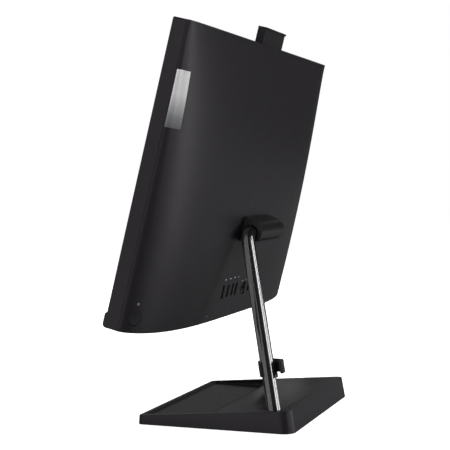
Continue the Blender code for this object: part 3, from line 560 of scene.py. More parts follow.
def cover_form(name, inset, front, columns, finish=None):
    """The cover's form as a solid, from a front plane to its swollen surface."""
    low, high = inset, HEIGHT - inset
    rows = [low + TOP_EDGE * share for share in (0, 0.05, 0.2, 0.5, 1)]
    rows += [low + (high - low) * step / 36 for step in range(1, 36)]
    rows += [high - BOTTOM_EDGE * share for share in (1, 0.7, 0.45, 0.25, 0.1, 0.03, 0)]
    across = [cover_x(-1 + 2 * step / columns, inset) for step in range(columns + 1)]
    rings = []
    for down in rows:
        ring = [screen(x, down, cover_deep(x, down, inset)) for x in across]
        if inset:
            ring += [screen(across[-1], down, front), screen(across[0], down, front)]
        rings.append(ring)
    return loft(name, rings, finish)


def stadium(centre, half_long, half_short):
    """Outline of a slot with round ends, long in its second coordinate."""
    reach = half_long - half_short
    upper = arc((centre[0], centre[1] + reach), half_short, 0, pi, 8)
    return upper + arc((centre[0], centre[1] - reach), half_short, pi, 2 * pi, 8)


def from_above(x, deep, down):
    return screen(x, down, deep)


def vent_cutters():
    cutters = []
    for step in range(9):
        for side in (-1, 1):
            x = side * (0.064 + 0.012 * step)
            for deep, half_long, down in ((0.0200, 0.0022, 0), (0.0320, 0.0080, HEIGHT)):
                outline = stadium((x, deep), half_long, 0.0015)
                cutters.append(prism("vent", outline, down - 0.005, down + 0.005, from_above))
    return cutters


def port_outline(node, grow=0.0):
    low, high = display_box(node)
    radius = 0.0009 + grow
    return rounded_rectangle((low.x - grow, low.y - grow), (high.x + grow, high.y + grow), radius, 4)


def exact_shading(cover):
    """Gives the shell's outer faces the normals of its form, so that the openings leave no dents."""
    mesh = cover.data
    mesh.shade_smooth()
    normals = [None] * len(mesh.loops)
    for face in mesh.polygons:
        for index in face.loop_indices:
            x, down, deep = on_display(mesh.vertices[mesh.loops[index].vertex_index].co)
            exact = cover_normal(x, down)
            away = abs(deep - cover_deep(x, down)) * abs(exact.dot(BACK))
            on_form = away < 0.0004 and face.normal.dot(exact) > 0.8
            normals[index] = exact if on_form else face.normal.copy()
    mesh.normals_split_custom_set(normals)


PORTS = ("hdmi_port", "usb_port_1", "usb_port_2", "usb_port_3", "network_port", "power_inlet")
BUTTON_AXIS = -Vector(joints["power_press"]["axis"])


def node_middle(node):
    low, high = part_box(node)
    return (low + high) / 2


BUTTON_MIDDLE = slide_to_cover(node_middle("power_button"), BUTTON_AXIS)
BUTTON_RADIUS = 0.00825
LIGHT_MIDDLE = slide_to_cover(node_middle("status_light"), BUTTON_AXIS)
LIGHT_AXIS = cover_normal(*on_display(LIGHT_MIDDLE)[:2])
LIGHT_RADIUS = 0.0015
LOCK_SPOT, LOCK_RADIUS = (0.1036, 0.3200), 0.0014
LOCK_MIDDLE, LOCK_AXIS = on_cover(*LOCK_SPOT), cover_normal(*LOCK_SPOT)
HINGE_SLOT = (0.037, 0.2080, 0.2304)  # half its width, then its top and bottom
BADGE_TURNS, BADGE_SUNK = (0.667, 0.960), 0.0008  # its two sides as turns across the cover, and its depth
CAMERA_LIP = 0.0014  # reach of the camera's rear lip past the hole it slides in
HOLE_GAP = 0.0004  # round what moves in a hole


def badge_form(name, low, high, edge=0.0, finish=None):
    """A plate along the cover's side, between two heights over it and this much wider than the badge."""
    box_low, box_high = display_box("badge_plate")
    first, last = BADGE_TURNS[0] - edge, BADGE_TURNS[1] + edge
    top, bottom = box_low.y + 0.0001 - edge * 0.1, box_high.y - 0.0001 + edge * 0.1
    turns = [first + (last - first) * step / 36 for step in range(37)]
    rings = []
    for down in (top + (bottom - top) * step / 8 for step in range(9)):
        under = [on_cover(cover_x(turn), down, low) for turn in turns]
        over = [on_cover(cover_x(turn), down, high) for turn in reversed(turns)]
        rings.append(under + over)
    return loft(name, rings, finish)


def camera_hole():
    """Cutter for the hole that the camera slides in."""
    low, high = display_box("camera_housing")
    x = (low.x - HOLE_GAP, high.x + HOLE_GAP)
    return block("camera_hole", x, (-0.005, 0.005), (low.z - HOLE_GAP, high.z - CAMERA_LIP + HOLE_GAP))


def make_cover():
    cover = cover_form("rear_shell", 0.0, SEAM, 112, "casing_black")
    hollow = cover_form("hollow", COVER_WALL, SEAM - 0.005, 40)
    cutters = [*vent_cutters(), camera_hole()]
    half, above, below = HINGE_SLOT
    hinge_hole = rounded_rectangle((-half, above), (half, below), 0.001)
    cutters.append(prism("hinge_hole", hinge_hole, 0.03, 0.07, screen))
    cutters.append(badge_form("badge_recess", -BADGE_SUNK, 0.004, 0.003))
    cutters += [prism("mouth", port_outline(port, HOLE_GAP), 0.045, 0.060, screen) for port in PORTS]
    for middle, axis, radius, reach in (
        (BUTTON_MIDDLE, BUTTON_AXIS, BUTTON_RADIUS + HOLE_GAP, 0.010),
        (LIGHT_MIDDLE, LIGHT_AXIS, LIGHT_RADIUS + 0.0003, 0.006),
        (LOCK_MIDDLE, LOCK_AXIS, LOCK_RADIUS + 0.0001, 0.0016),
    ):
        cutters.append(rod("hole", middle - axis * reach, middle + axis * 0.01, radius))
    cut(cover, hollow, joined("cover_cutters", cutters))
    exact_shading(cover)
    settle(cover, "display", "casing_black", "rear_cover")


def make_button():
    """Dished round button that follows the cover, with a small dot in its middle."""
    edge = BUTTON_RADIUS
    levels = [(edge * share, 0.00035 * (1 - share**2)) for share in (0.06, 0.2, 0.4, 0.6, 0.8, 0.9)]
    levels += [(edge - 0.0004, 0.00002), (edge - 0.0001, 0.00014), (edge, 0.0004)]

    rings = []
    for radius, sunk in levels:
        rim = circle(BUTTON_MIDDLE, BUTTON_AXIS, radius, 72)
        rings.append([slide_to_cover(point, BUTTON_AXIS) - BUTTON_AXIS * sunk for point in rim])
    stem, underside, stem_end = 0.0024, 0.0026, 0.0070
    for radius, sunk in ((edge, underside), (stem, underside), (stem, stem_end)):
        rings.append(circle(BUTTON_MIDDLE - BUTTON_AXIS * sunk, BUTTON_AXIS, radius, 72))
    button = loft("power_key", rings, "casing_black", 40)
    dot_profile = ((0, 0.00055), (0.00034, 0.00055), (0.00040, 0.00040))
    dot = turned("power_dot", BUTTON_MIDDLE - BUTTON_AXIS * 0.0006, BUTTON_AXIS, dot_profile, "soot", 24)
    settle(button, "button", "casing_black", "power_button")
    settle(dot, "button", "casing_black")


def inset_ring(name, middle, axis, outer, inner, under, over, finish, count):
    """A ring let into the cover, with softened upper edges."""
    profile = [(-under, outer), (0.0, outer), (over, outer - 0.0002)]
    profile += [(over, inner + 0.0001), (0.0, inner), (-under, inner)]
    return turned(name, middle, axis, profile, finish, count, True)


def make_light():
    """Translucent ring with a dark centre."""
    place, inner = (LIGHT_MIDDLE, LIGHT_AXIS), LIGHT_RADIUS * 0.50
    ring = inset_ring("light_ring", *place, LIGHT_RADIUS, inner, 0.0020, 0.00012, "light_white", 40)
    core_profile = ((-0.0018, inner - 0.00004), (-0.0002, inner - 0.00004))
    core = turned("light_core", *place, core_profile, "soot", 32)
    settle(ring, "display", "light_white", "status_light")
    settle(core, "display", "light_white")


def make_lock():
    """Small metal eyelet for a security lock, low on the cover."""
    radii = (LOCK_RADIUS, LOCK_RADIUS * 0.55)
    ring = inset_ring("lock_eyelet", LOCK_MIDDLE, LOCK_AXIS, *radii, 0.0012, 0.0002, "socket_steel", 32)
    settle(ring, "display", "port_metal")


def make_badge():
    """Plain curved plate with softened edges, let into the cover."""
    plate = badge_form("badge", CLEAR - BADGE_SUNK, 0.0, 0.0, "badge_silver")
    settle(bevel(plate, 0.0002, 2, 50), "display", "badge_silver", "badge_plate")


# ---- frame, screen and chin

FRAME_WALL = 0.002
CHIN_RADIUS = 0.004
FRAME_CORNER = 0.0025
LEDGE_FRONT, LEDGE_THICK, LEDGE_REACH = 0.0093, 0.0015, 0.010
SCREEN_HALF, SCREEN_TOP, SCREEN_BOTTOM = 0.2635, 0.0072, 0.3048  # the bezel's opening


def side_view(deep, down, x):
    return screen(x, down, deep)


def frame_box(half_x, down, deep, corner=0.0):
    outline = rounded_rectangle((-half_x, down[0]), (half_x, down[1]), corner, 4)
    return prism("box", outline, *deep, screen)


def make_frame():
    """The band round the screen, with the chin's profile at its lower end."""
    chin = arc((CHIN_RADIUS - CHIN_PROUD, HEIGHT - CHIN_RADIUS), CHIN_RADIUS, pi, pi / 2, 10)
    outline = [(0, 0), (0, CHIN_TOP - 0.0008), (-CHIN_PROUD, CHIN_TOP + 0.0014), *chin]
    outline += [(FRAME_DEPTH, HEIGHT), (FRAME_DEPTH, 0)]
    band = prism("display_band", outline, -HALF_WIDTH, HALF_WIDTH, side_view, "casing_black")
    trim_radii = (FRAME_CORNER, FRAME_CORNER, 0, 0)
    trim = rounded_rectangle((-HALF_WIDTH, 0), (HALF_WIDTH, HEIGHT + 0.01), trim_radii)
    combine(band, [prism("trim", trim, -0.01, 0.03, screen)], "INTERSECT")
    inner_x, low, high = HALF_WIDTH - FRAME_WALL, FRAME_WALL, HEIGHT - FRAME_WALL
    reach = LEDGE_REACH
    cut(
        band,
        frame_box(inner_x, (low, high), (-0.01, LEDGE_FRONT)),
        frame_box(inner_x - reach, (low + reach, high - reach), (0.0, 0.03)),
        frame_box(inner_x, (low, high), (LEDGE_FRONT + LEDGE_THICK, 0.03)),
        camera_hole(),
    )
    settle(bevel(band, 0.0004, 3), "display", "casing_black", "mid_frame")


def make_front():
    bezel = node_block("bezel", "front_bezel", "bezel_black")
    cut(bezel, frame_box(SCREEN_HALF, (SCREEN_TOP, SCREEN_BOTTOM), (-0.01, 0.01), 0.0008))
    settle(bevel(bezel, 0.0004, 3), "display", "bezel_black", "front_bezel")
    panel = node_block("lcd_panel", "screen_panel", "screen_dark", 0.0003)
    settle(panel, "display", "screen_dark", "screen_panel")


def make_chin():
    """Speaker bar below the screen, with a round lower front edge."""
    low, high = display_box("chin_bar")
    centre = (CHIN_RADIUS - CHIN_PROUD, HEIGHT - CHIN_RADIUS)
    turn = asin((high.y - centre[1]) / CHIN_RADIUS)
    front = arc(centre, CHIN_RADIUS, pi, pi - turn, 8)
    outline = [(high.z, low.y), (0, low.y), (-CHIN_PROUD, low.y + 0.0008), *front, (high.z, high.y)]
    bar = prism("speaker_bar", outline, low.x, high.x, side_view, "grille")
    settle(bevel(bar, 0.0003, 2), "display", "bezel_black", "chin_bar")


# ---- ports and their marks


def port_sleeve(name, mouth_drop, wall=0.0005):
    """Drawn metal shell with rounded corners, open to the rear."""
    low, high = display_box(name)
    middle = (low + high) / 2
    outer = port_outline(name)
    across, along = 1 - 2 * wall / (high.x - low.x), 1 - 2 * wall / (high.y - low.y)
    inner = [(middle.x + (a - middle.x) * across, middle.y + (b - middle.y) * along) for a, b in outer]
    mouth = high.z - mouth_drop
    floor = low.z + 0.0012
    levels = ((outer, low.z), (outer, mouth), (inner, mouth), (inner, floor))
    return loft("sleeve", [[screen(a, b, deep) for a, b in ring] for ring, deep in levels], "socket_steel")


def make_socket(name, port, sleeve, blocks):
    """Joins a port's sleeve and its inner blocks, each given as x, down, deep, finish and edge."""
    parts = [sleeve, *(block("part", *sizes) for sizes in blocks)]
    settle(joined(name, parts), "display", "port_metal", port)


def make_slot_port(name):
    """Upright socket with a tongue and a row of contacts."""
    low, high = display_box(name)
    middle = (low + high) / 2
    front, mouth = low.z + 0.0008, high.z - 0.0028
    reach = (high.y - low.y) / 2 * 0.72
    offset = 0.0007 if name.startswith("usb") else 0.0
    left, right = middle.x + offset - 0.0007, middle.x + offset + 0.0007
    blocks = [((left, right), (middle.y - reach, middle.y + reach), (front, mouth), "soot", 0.0001)]
    for contact in range(4):
        down = middle.y + reach * (contact - 1.5) / 2
        x, height = (left - 0.00015, left + 0.0002), (down - 0.0006, down + 0.0006)
        blocks.append((x, height, (front, mouth - 0.0006), "gold"))
    # A near-black sheet over the socket's floor: painted shade in its depth
    x, down = (low.x + 0.0006, high.x - 0.0006), (low.y + 0.0006, high.y - 0.0006)
    blocks.append((x, down, (low.z + 0.0011, low.z + 0.0014), "soot"))
    make_socket(f"{name}_socket", name, port_sleeve(name, 0.0014), blocks)


def make_network_port():
    """Wide socket: black body above, a sprung metal shield with a latch notch below, eight contacts."""
    low, high = display_box("network_port")
    middle = (low + high) / 2
    rear, front = low.z + 0.0014, high.z - 0.0018
    top, bottom, body_end = low.y + 0.0008, high.y - 0.0008, low.y + 0.0062
    half, half_notch = high.x - middle.x - 0.0008, 0.0022
    blocks = [((low.x + 0.0008, high.x - 0.0008), (top, body_end), (rear, front), "soot", 0.0002)]
    for x in ((middle.x - half, middle.x - half_notch), (middle.x + half_notch, middle.x + half)):
        blocks.append((x, (low.y + 0.0086, bottom), (rear, high.z - 0.0012), "socket_steel", 0.0002))
    notch = (middle.x - half_notch, middle.x + half_notch)
    blocks.append((notch, (high.y - 0.0026, bottom), (rear, high.z - 0.0030), "socket_steel", 0.0002))
    for contact in range(8):
        left = middle.x + (contact - 3.5) * 0.00102 - 0.00025
        x, down = (left, left + 0.0005), (body_end, low.y + 0.0069)
        blocks.append((x, down, (rear, front - 0.002), "gold"))
    make_socket("network_socket", "network_port", port_sleeve("network_port", 0.0010, 0.0007), blocks)


def mark(shape):
    """A painted mark from (x, down) points, raised a few hundredths of a millimetre."""
    rings = [[on_cover(x, down, lift) for x, down in shape] for lift in (-0.0003, 0.00006)]
    return loft("mark", rings, "mark")


def bar(x, half, top, bottom, radius):
    return mark(rounded_rectangle((x - half, top), (x + half, bottom), radius, 3))


def make_marks():
    """Small generic marks over the ports: bars, a disc and a triangle."""
    pieces = []
    for x in (0.0650, 0.0480, 0.0325):
        pieces.append(bar(x, 0.0012, 0.2779, 0.2792, 0.0003))
        pieces.append(bar(x + 0.0022, 0.0004, 0.2781, 0.2790, 0.0002))
    pieces.append(mark(arc((0.0187, 0.2786), 0.0009, 0, 2 * pi * 23 / 24, 23)))
    pieces.append(mark([(-0.0022, 0.2862), (-0.0010, 0.2840), (0.0002, 0.2862)]))
    for x in (-0.0128, -0.0148):
        pieces.append(bar(x, 0.0006, 0.2842, 0.2856, 0.0002))
    settle(joined("port_marks", pieces), "display", "light_white")


# ---- pop-up camera

LENS_DOWN = -0.011
WINDOW_HALF, WINDOW_TOP, WINDOW_BOTTOM = 0.033, -0.018, -0.004


def lens_hole(front):
    return rod("lens_hole", screen(0, LENS_DOWN, front - 0.003), screen(0, LENS_DOWN, front + 0.004), 0.004)


def window_outline(gap, radius):
    """Outline of the recess for the camera's window, this far inside it."""
    low, high = (gap - WINDOW_HALF, WINDOW_TOP + gap), (WINDOW_HALF - gap, WINDOW_BOTTOM - gap)
    return rounded_rectangle(low, high, radius)


def make_camera():
    low, high = display_box("camera_housing")
    back, under_lip = high.z - CAMERA_LIP, low.y + 0.0022
    side = [(low.z, high.y), (back, high.y), (back, under_lip + 0.0010)]
    side += [(back + 0.0003, under_lip + 0.0003), (high.z, under_lip), (high.z, low.y), (low.z, low.y)]
    housing = prism("camera_slider", side, low.x, high.x, side_view, "casing_black")
    recess = prism("recess", window_outline(0, 0.002), low.z - 0.002, low.z + 0.0012, screen)
    cut(housing, recess, lens_hole(low.z))
    settle(bevel(housing, 0.0005, 3), "camera", "casing_black", "camera_housing")

    outline = window_outline(CLEAR, 0.0018)
    window = prism("camera_glass", outline, low.z + 0.0002, low.z + 0.0009, screen, "lens_glass")
    cut(window, lens_hole(low.z))
    settle(bevel(window, 0.0002, 2), "camera", "lens_glass", "camera_window")

    place = screen(0, LENS_DOWN, low.z)
    rim = [(0.0038, 0.0037), (0.0003, 0.0037), (0.0001, 0.0034), (0.0004, 0.0029), (0.0010, 0.0021)]
    rim += [(0.0014, 0.0019), (0.0038, 0.0019)]
    barrel = turned("camera_barrel", place, BACK, rim, "bezel_black", 48, True)
    dome = [(0.0012 + 0.0006 * (share / 6) ** 2, 0.0018 * share / 6) for share in (0.2, 1, 2, 3, 4, 5, 6)]
    glass = turned("camera_dome", place, BACK, (*dome, (0.0030, 0.0018)), "lens_glass")
    settle(barrel, "camera", "lens_glass", "camera_lens")
    settle(glass, "camera", "lens_glass")
    for name, x, radius, finish in (
        ("sensor_port", -0.012, 0.0011, "soot"),
        ("camera_light", 0.012, 0.0005, "light_white"),
        # The microphones are near-black discs: painted shade where their holes would be
        ("microphone_left", 0.026, 0.0004, "soot"),
        ("microphone_right", -0.026, 0.0004, "soot"),
    ):
        spot = screen(x, LENS_DOWN, low.z + 0.0001)
        dot = turned(name, spot, BACK, ((0.00006, radius * 0.8), (0, radius), (0.0001, radius)), finish, 28)
        settle(dot, "camera", "lens_glass")


# ---- hinge and tube

TUBE_RADIUS, TUBE_BORE = 0.0080, 0.0060
TUBE_CORNER_X, TUBE_BEND, TUBE_END_X = 0.060, 0.016, 0.0385
TUBE_FOOT = Vector((0.1125, 0.0677, 0.0223))
TUBE_CORNER = Vector((TUBE_CORNER_X, HINGE.y, HINGE.z))
TUBE_UP = (TUBE_CORNER - TUBE_FOOT).normalized()
HOUSING_NOSE = (0.0648, 0.2176)
HOUSING_RADIUS, HOUSING_TAPER, HOUSING_WALL = 0.0128, radians(9), 0.0022


def housing_outline(shrink):
    """Outline (deep, down) of the hinge housing, this far inside its outer surface."""
    nose = arc(HOUSING_NOSE, HOUSING_RADIUS - shrink, -pi / 2 + HOUSING_TAPER, pi / 2 - HOUSING_TAPER, 36)
    ends = []
    for (deep, down), side in ((nose[0], -1), (nose[-1], 1)):
        root = cover_deep(0, down + side * 0.0024) + (0.0005 if shrink == 0 else -0.004)
        ends.append((root, down + side * tan(HOUSING_TAPER) * (deep - root)))
    return [ends[0], *nose, ends[1]]


def make_housing():
    low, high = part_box("hinge_housing")
    housing = prism("hinge_cover", housing_outline(0), low.x, high.x, side_view, "hinge_black", 12)
    inner_x = (low.x + HOUSING_WALL, high.x - HOUSING_WALL)
    room = prism("room", housing_outline(HOUSING_WALL), *inner_x, side_view)
    mouth = rod("mouth", HINGE + X * 0.035, HINGE + X * 0.060, TUBE_RADIUS + 0.0010, count=64)
    cut(housing, room, mouth)
    settle(bevel(housing, 0.0007, 4, 40), "display", "hinge_black", "hinge_housing")


def tube_route():
    """Centre line of the tube from its foot, round its bend, to its end on the hinge axis."""
    down, inward = -TUBE_UP, -X
    half_turn = (pi - down.angle(inward)) / 2
    reach = TUBE_BEND * tan(half_turn)
    start, end = TUBE_CORNER + down * reach, TUBE_CORNER + inward * reach
    centre = TUBE_CORNER + (down + inward).normalized() * (TUBE_BEND / cos(half_turn))
    first, last = start - centre, end - centre
    whole = first.angle(last)
    bend = []
    for step in range(25):
        share = step / 24
        bend.append(centre + (first * sin((1 - share) * whole) + last * sin(share * whole)) / sin(whole))
    return [TUBE_FOOT + down * 0.0100, *bend, Vector((TUBE_END_X, HINGE.y, HINGE.z))]


def make_tube():
    route = tube_route()
    flat = TUBE_UP.cross(X).normalized()

    def rings_of(radius):
        rings = []
        for index, point in enumerate(route):
            ahead = route[min(index + 1, len(route) - 1)] - route[max(index - 1, 0)]
            side = ahead.normalized().cross(flat).normalized()
            angles = [2 * pi * k / 80 for k in range(80)]
            rings.append([point + (flat * cos(a) + side * sin(a)) * radius for a in angles])
        return rings

    walls = rings_of(TUBE_RADIUS) + rings_of(TUBE_BORE)[::-1]
    settle(loft("leg_tube", walls, "tube_black", 40, True), "stand", "tube_black", "stand_tube")


CLIP_UP_TUBE, CLIP_HALF_HEIGHT, CLIP_WALL = 0.0490, 0.0081, 0.0020
CLIP_MOUTH = (radians(-30), radians(58))  # the clamp's opening, from its across direction
HOOK_LOW, HOOK_HIGH = -0.0030, 0.0111


def make_clip():
    """Clamp round the tube with a hook for cables, both open towards +X."""
    across = (X - TUBE_UP * TUBE_UP.x).normalized()
    rear = TUBE_UP.cross(across)
    middle = TUBE_FOOT + TUBE_UP * CLIP_UP_TUBE

    def level(a, b, rise):
        """A place round the tube whose height is level with the table."""
        height = (rise - across.z * a - rear.z * b) / TUBE_UP.z
        return middle + across * a + rear * b + TUBE_UP * height

    inner = TUBE_RADIUS + CLEAR
    start, end = CLIP_MOUTH[1], CLIP_MOUTH[0] + 2 * pi
    outline = arc((0, 0), inner + CLIP_WALL, start, end, 72) + arc((0, 0), inner, end, start, 64)
    clip = prism("tube_clip", outline, -CLIP_HALF_HEIGHT, CLIP_HALF_HEIGHT, level, "clip_black")
    corner = arc((-0.0060, 0.0162), 0.0020, pi, pi / 2, 8)
    hook = [(-0.0080, 0.0045), *corner, (0.0060, 0.0182), (0.0060, 0.0159), (-0.0056, 0.0159)]
    fuse(clip, prism("hook", [*hook, (-0.0056, 0.0070)], HOOK_LOW, HOOK_HIGH, level))
    settle(bevel(clip, 0.00035, 3, 40), "clip", "clip_black", "cable_clip")


# ---- base

BASE_LOW, BASE_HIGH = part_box("base_shell")
BASE_HALF, BASE_DEEP = BASE_HIGH.x, BASE_HIGH.y
BASE_RISE, BASE_SLOPE = 0.0189, 0.0865
BASE_WIDEST, BASE_REAR_TOP = 0.0013, 0.0895
TRAY_LOW, TRAY_HIGH = Vector((-0.120, -0.086, 0.0075)), Vector((0.120, -0.003, 0.05))
BASE_WALL, SKIRT_WALL = 0.0025, 0.0031
CORNERS = (1, 2, 3, 4)  # numbers of the screws and of the feet
BOSS_RADIUS, BOSS_BORE = 0.0038, 0.0019
ROOM_FRONT, ROOM_MIDDLE, ROOM_REAR = -0.0865, 0.0005, 0.0860  # the rooms under the tray and behind it
GROOVE_HALF, GROOVE = 0.1195, (-0.0024, -0.0012)  # the joint line behind the tray, and its front and rear


def base_top(y):
    return BASE_RISE + BASE_SLOPE * y


def upright(x, y, z):
    return Vector((x, y, z))


def make_base():
    half, deep = BASE_HALF, BASE_DEEP
    loops = (
        (half - 0.0003, -deep + 0.0008, deep - 0.0002, (0.004, 0.004, 0.015, 0.006), lambda y: BASE_LOW.z),
        (half, -deep, deep, (0.005, 0.005, 0.016, 0.006), lambda y: BASE_WIDEST),
        (half - 0.0006, -deep + 0.0004, BASE_REAR_TOP, (0.005, 0.005, 0.014, 0.011), base_top),
    )
    rings = []
    for side, front, rear, radii, height in loops:
        outline = rounded_rectangle((-side, front), (side, rear), radii, 12)
        rings.append([Vector((x, y, height(y))) for x, y in outline])
    shell = loft("base_casing", rings, "casing_black", 30)
    bevel(shell, 0.0007, 4, 50)
    tray = rounded_rectangle(TRAY_LOW[:2], TRAY_HIGH[:2], (0.003, 0.003, 0, 0))
    inner = half - SKIRT_WALL
    front_room = rounded_rectangle((-inner, ROOM_FRONT), (inner, ROOM_MIDDLE), (0.003, 0.003, 0, 0), 3)
    room_start = TRAY_HIGH.y + BASE_WALL
    rear_room = rounded_rectangle((-inner, room_start), (inner, ROOM_REAR), (0, 0, 0.010, 0.010))
    room_levels = (lambda y: -0.01, lambda y: base_top(y) - BASE_WALL)
    groove = rounded_rectangle((-GROOVE_HALF, GROOVE[0]), (GROOVE_HALF, GROOVE[1]))
    groove_floor = base_top(0) - 0.0016
    reach = TUBE_UP * 0.012
    cutters = [
        prism("tray", tray, TRAY_LOW.z, TRAY_HIGH.z, upright),
        prism("front_room", front_room, -0.01, TRAY_LOW.z - BASE_WALL, upright),
        loft("rear_room", [[Vector((x, y, level(y))) for x, y in rear_room] for level in room_levels]),
        rod("tube_hole", TUBE_FOOT - reach, TUBE_FOOT + reach, TUBE_RADIUS + HOLE_GAP, count=64),
        prism("groove", groove, groove_floor, groove_floor + 0.03, upright),
    ]
    cut(shell, *cutters)
    for number in CORNERS:
        x, y = node_middle(f"base_screw_{number}")[:2]
        fuse(shell, rod("boss", (x, y, 0.0050), (x, y, base_top(y) - 0.001), BOSS_RADIUS, count=24))
        cut(shell, rod("hole", (x, y, 0.0030), (x, y, 0.0125), BOSS_BORE, count=20))
    settle(shell, "stand", "casing_black", "base_shell")

    low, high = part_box("tray_mat")
    outline = rounded_rectangle(low[:2], high[:2], 0.0022)
    mat = prism("tray_insert", outline, low.z, high.z, upright, "mat_grey")
    settle(bevel(mat, 0.0003, 2), "stand", "mat_grey", "tray_mat")


def make_feet():
    for number in CORNERS:
        low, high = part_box(f"rubber_foot_{number}")
        middle = Vector((*node_middle(f"rubber_foot_{number}")[:2], 0))
        radius, height = (high.x - low.x) / 2, high.z
        profile = [(0.0, radius * 0.55), (0.0, radius - 0.0007), (0.0002, radius - 0.0002)]
        profile += [(0.0005, radius), (height, radius), (height, radius * 0.5), (0.00025, radius * 0.5)]
        pad = turned(f"foot_pad_{number}", middle, Z, profile, "rubber_black", 64, True)
        settle(pad, "stand", "rubber_black", f"rubber_foot_{number}")


def make_screws():
    """Pan-head screws with a cross recess."""
    head, shank = 0.0032, 0.0015
    for number in CORNERS:
        low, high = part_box(f"base_screw_{number}")
        start = Vector((*node_middle(f"base_screw_{number}")[:2], low.z))
        profile = [(0.0, head * 0.5), (0.0, head * 0.8), (0.0002, head * 0.95), (0.0006, head)]
        profile += [(0.0014, head), (0.0014, shank), (high.z - low.z, shank)]
        screw = turned(f"screw_{number}", start, Z, profile, "dark_steel", 40)
        for turn in (0, 1):
            reach = (0.0017, 0.0003) if turn else (0.0003, 0.0017)
            recess = rounded_rectangle((-reach[0], -reach[1]), reach)
            cut(screw, prism("recess", recess, -0.001, 0.0010, lambda a, b, z: start + Vector((a, b, z))))
        settle(screw, "stand", "dark_steel", f"base_screw_{number}")


# ---- parts on the boards


def board_parts(name, board, chips, cans):
    """Chips (x, down, width, height, thick) and capacitors (x, down, radius, tall) on a board's rear."""
    face = display_box(board)[1].z + 0.00005
    pieces = []
    for x, down, width, height, thick in chips:
        across, along = (x - width / 2, x + width / 2), (down - height / 2, down + height / 2)
        pieces.append(block("chip", across, along, (face, face + thick), "chip", 0.00015))
    for x, down, radius, tall in cans:
        profile = ((0, radius), (tall * 0.9, radius), (tall, radius * 0.88))
        pieces.append(turned("can", screen(x, down, face), BACK, profile, "tin", 20))
    settle(joined(name, pieces), "display", "board_green")


def make_board_parts():
    coils = [(-0.0555, 0.244 + 0.008 * step, 0.006, 0.006, 0.003) for step in range(6)]
    chips = [(-0.030, 0.262, 0.018, 0.018, 0.0014), (0.098, 0.2425, 0.010, 0.005, 0.0010), *coils]
    cans = [(-0.0460 + 0.0055 * step, 0.2415, 0.002, 0.004) for step in range(6)]
    cans += [(0.150, 0.2420, 0.0022, 0.004), (0.156, 0.2420, 0.0022, 0.004)]
    board_parts("mainboard_parts", "mainboard", chips, cans)
    modules = [(0.104 + 0.0145 * step, 0.265, 0.011, 0.013, 0.0008) for step in range(4)]
    board_parts("memory_chips", "memory_module", modules, ())
    stores = [(x, 0.252, 0.018, 0.014, 0.0009) for x in (0.026, 0.055)]
    board_parts("ssd_chips", "ssd_card", stores, ())
    shield, aerial = (0.147, 0.2975, 0.020, 0.013, 0.0010), (0.138, 0.2885, 0.001, 0.0008)
    board_parts("wifi_shield", "wifi_card", [shield], [aerial])


make_cover()
make_button()
make_light()
make_lock()
make_badge()
make_frame()
make_front()
make_chin()
for port in PORTS:
    if port != "network_port":
        make_slot_port(port)
make_network_port()
make_marks()
make_camera()
make_housing()
make_tube()
make_clip()
make_base()
make_feet()
make_screws()
make_board_parts()


# ---- stage, light and camera

FLOOR_RADIUS, DOME_RADIUS = 6.0, 9.0


def make_stage():
    """Pale floor and backdrop, which don't tint the object with bounced light."""
    glow = {"Specular_IOR_Level": 0.0, "Emission_Color": (1, 1, 1, 1), "Emission_Strength": 1.0}
    SURFACE["floor"] = Finish("pale_floor", (0.8, 0.8, 0.8), 0.9, **glow).material
    SURFACE["backdrop"] = Finish("white_backdrop", (0, 0, 0), 0.9, **glow).material
    floor_rings = [circle((0, 0, level), Z, FLOOR_RADIUS, 96) for level in (-0.02, -0.0001)]
    dome_rings = []
    for step in range(1, 16):
        angle = -pi / 2 + pi * step / 16
        dome_rings.append(circle((0, 0, DOME_RADIUS * sin(angle)), Z, DOME_RADIUS * cos(angle), 64))
    for name, rings in (("floor", floor_rings), ("backdrop", dome_rings)):
        obj = loft(name, rings, name)
        for ray in ("diffuse", "glossy", "transmission", "shadow"):
            setattr(obj, f"visible_{ray}", False)


MIDDLE = Vector((0, 0.02, 0.22))
SIDE_TOP = Vector((0.27, 0, 0.42))
TUBE_MIDDLE = Vector((0.078, 0.036, 0.155))

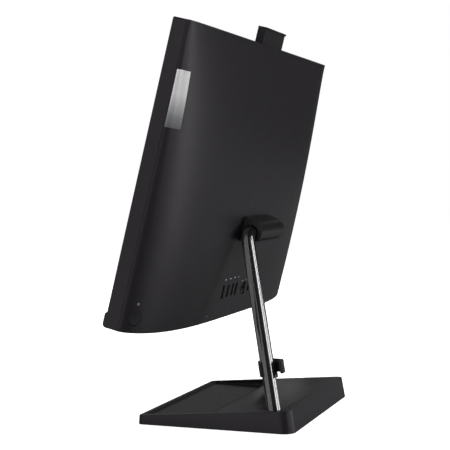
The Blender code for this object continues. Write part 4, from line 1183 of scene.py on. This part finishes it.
# Soft panels: name, bearing and height in degrees as seen from what it aims at, distance, width, height,
# radiance, and where it aims if that isn't the middle
MATT_LIGHTS = (  # seen only in matt reflection
    ("rear_key", 154, 19, 2.0, 0.45, 0.9, 38.0),
    ("side_bounce", 10, -30, 2.0, 2.0, 2.0, 1.2),
    ("side_top", 0, 20, 0.35, 0.2, 0.2, 5.2, SIDE_TOP),
    ("front_fill", -100, 8, 2.0, 1.6, 1.6, 1.6),
)
GLOSS_LIGHTS = (  # seen only in glossy reflection
    ("front_sheen", -120, 20, 2.0, 1.6, 1.2, 0.7),
    ("backdrop_sheen", 200, 14, 2.2, 1.6, 1.0, 0.24),
    ("low_rear_sheen", 166, -12, 2.2, 1.6, 0.8, 0.17),
    ("low_strip", 105, -20, 2.0, 0.6, 1.0, 0.83),
    ("corner_strip", 80, 12, 2.0, 0.5, 1.6, 3.1),
    ("rear_strip", 122, -3, 2.0, 0.5, 1.2, 2.7),
    ("front_softbox", -40, 10, 2.0, 2.6, 2.6, 0.28),
    ("side_sheen", -8, -18, 2.0, 1.6, 1.2, 0.52),
    ("tube_strip", 106, 25, 2.0, 0.45, 1.2, 3.0),
    ("tube_ramp", 72, 32, 2.0, 0.8, 1.2, 0.4),
    ("tube_card", -60, 2, 0.025, 0.034, 0.20, 0.21, TUBE_MIDDLE),
)
WORLD_LEVEL = 0.04
LENS, SENSOR_WIDTH = 98.0, 36.0  # millimetres
VIEW_BEARING, VIEW_PITCH = radians(109.0545), radians(2.2877)
VIEW_PLACE = (1.4267, 0.4626, 0.2878)


def panel_light(glossy, name, bearing, elevation, distance, width, height, radiance, aim=MIDDLE):
    turn, rise = radians(bearing), radians(elevation)
    out = Vector((cos(rise) * cos(turn), cos(rise) * sin(turn), sin(rise)))
    data = bpy.data.lights.new(name, "AREA")
    data.shape = "RECTANGLE"
    data.size, data.size_y = width, height
    data.energy = radiance * pi * width * height
    light = bpy.data.objects.new(name, data)
    light.location = aim + out * distance
    light.rotation_euler = out.to_track_quat("Z", "Y").to_euler()
    light.visible_camera = False
    light.visible_glossy = glossy
    light.visible_diffuse = not glossy
    bpy.context.scene.collection.objects.link(light)


def make_lights():
    for glossy, lights in ((False, MATT_LIGHTS), (True, GLOSS_LIGHTS)):
        for light in lights:
            panel_light(glossy, *light)
    world = bpy.data.worlds.new("studio")
    bpy.context.scene.world = world
    world.use_nodes = True
    background = world.node_tree.nodes["Background"]
    background.inputs["Color"].default_value = (1, 1, 1, 1)
    background.inputs["Strength"].default_value = WORLD_LEVEL
    world.cycles_visibility.glossy = False


def make_view():
    data = bpy.data.cameras.new("photo_view")
    data.sensor_width = SENSOR_WIDTH
    data.lens = LENS
    camera = bpy.data.objects.new("photo_view", data)
    level = cos(VIEW_PITCH)
    away = Vector((sin(VIEW_BEARING) * level, -cos(VIEW_BEARING) * level, sin(VIEW_PITCH)))
    right = Z.cross(away).normalized()
    camera.matrix_world = Matrix((right, away.cross(right), away)).transposed().to_4x4()
    camera.location = VIEW_PLACE
    bpy.context.scene.collection.objects.link(camera)
    bpy.context.scene.camera = camera


make_stage()
make_lights()
make_view()
bpy.context.scene.view_settings.view_transform = "Standard"
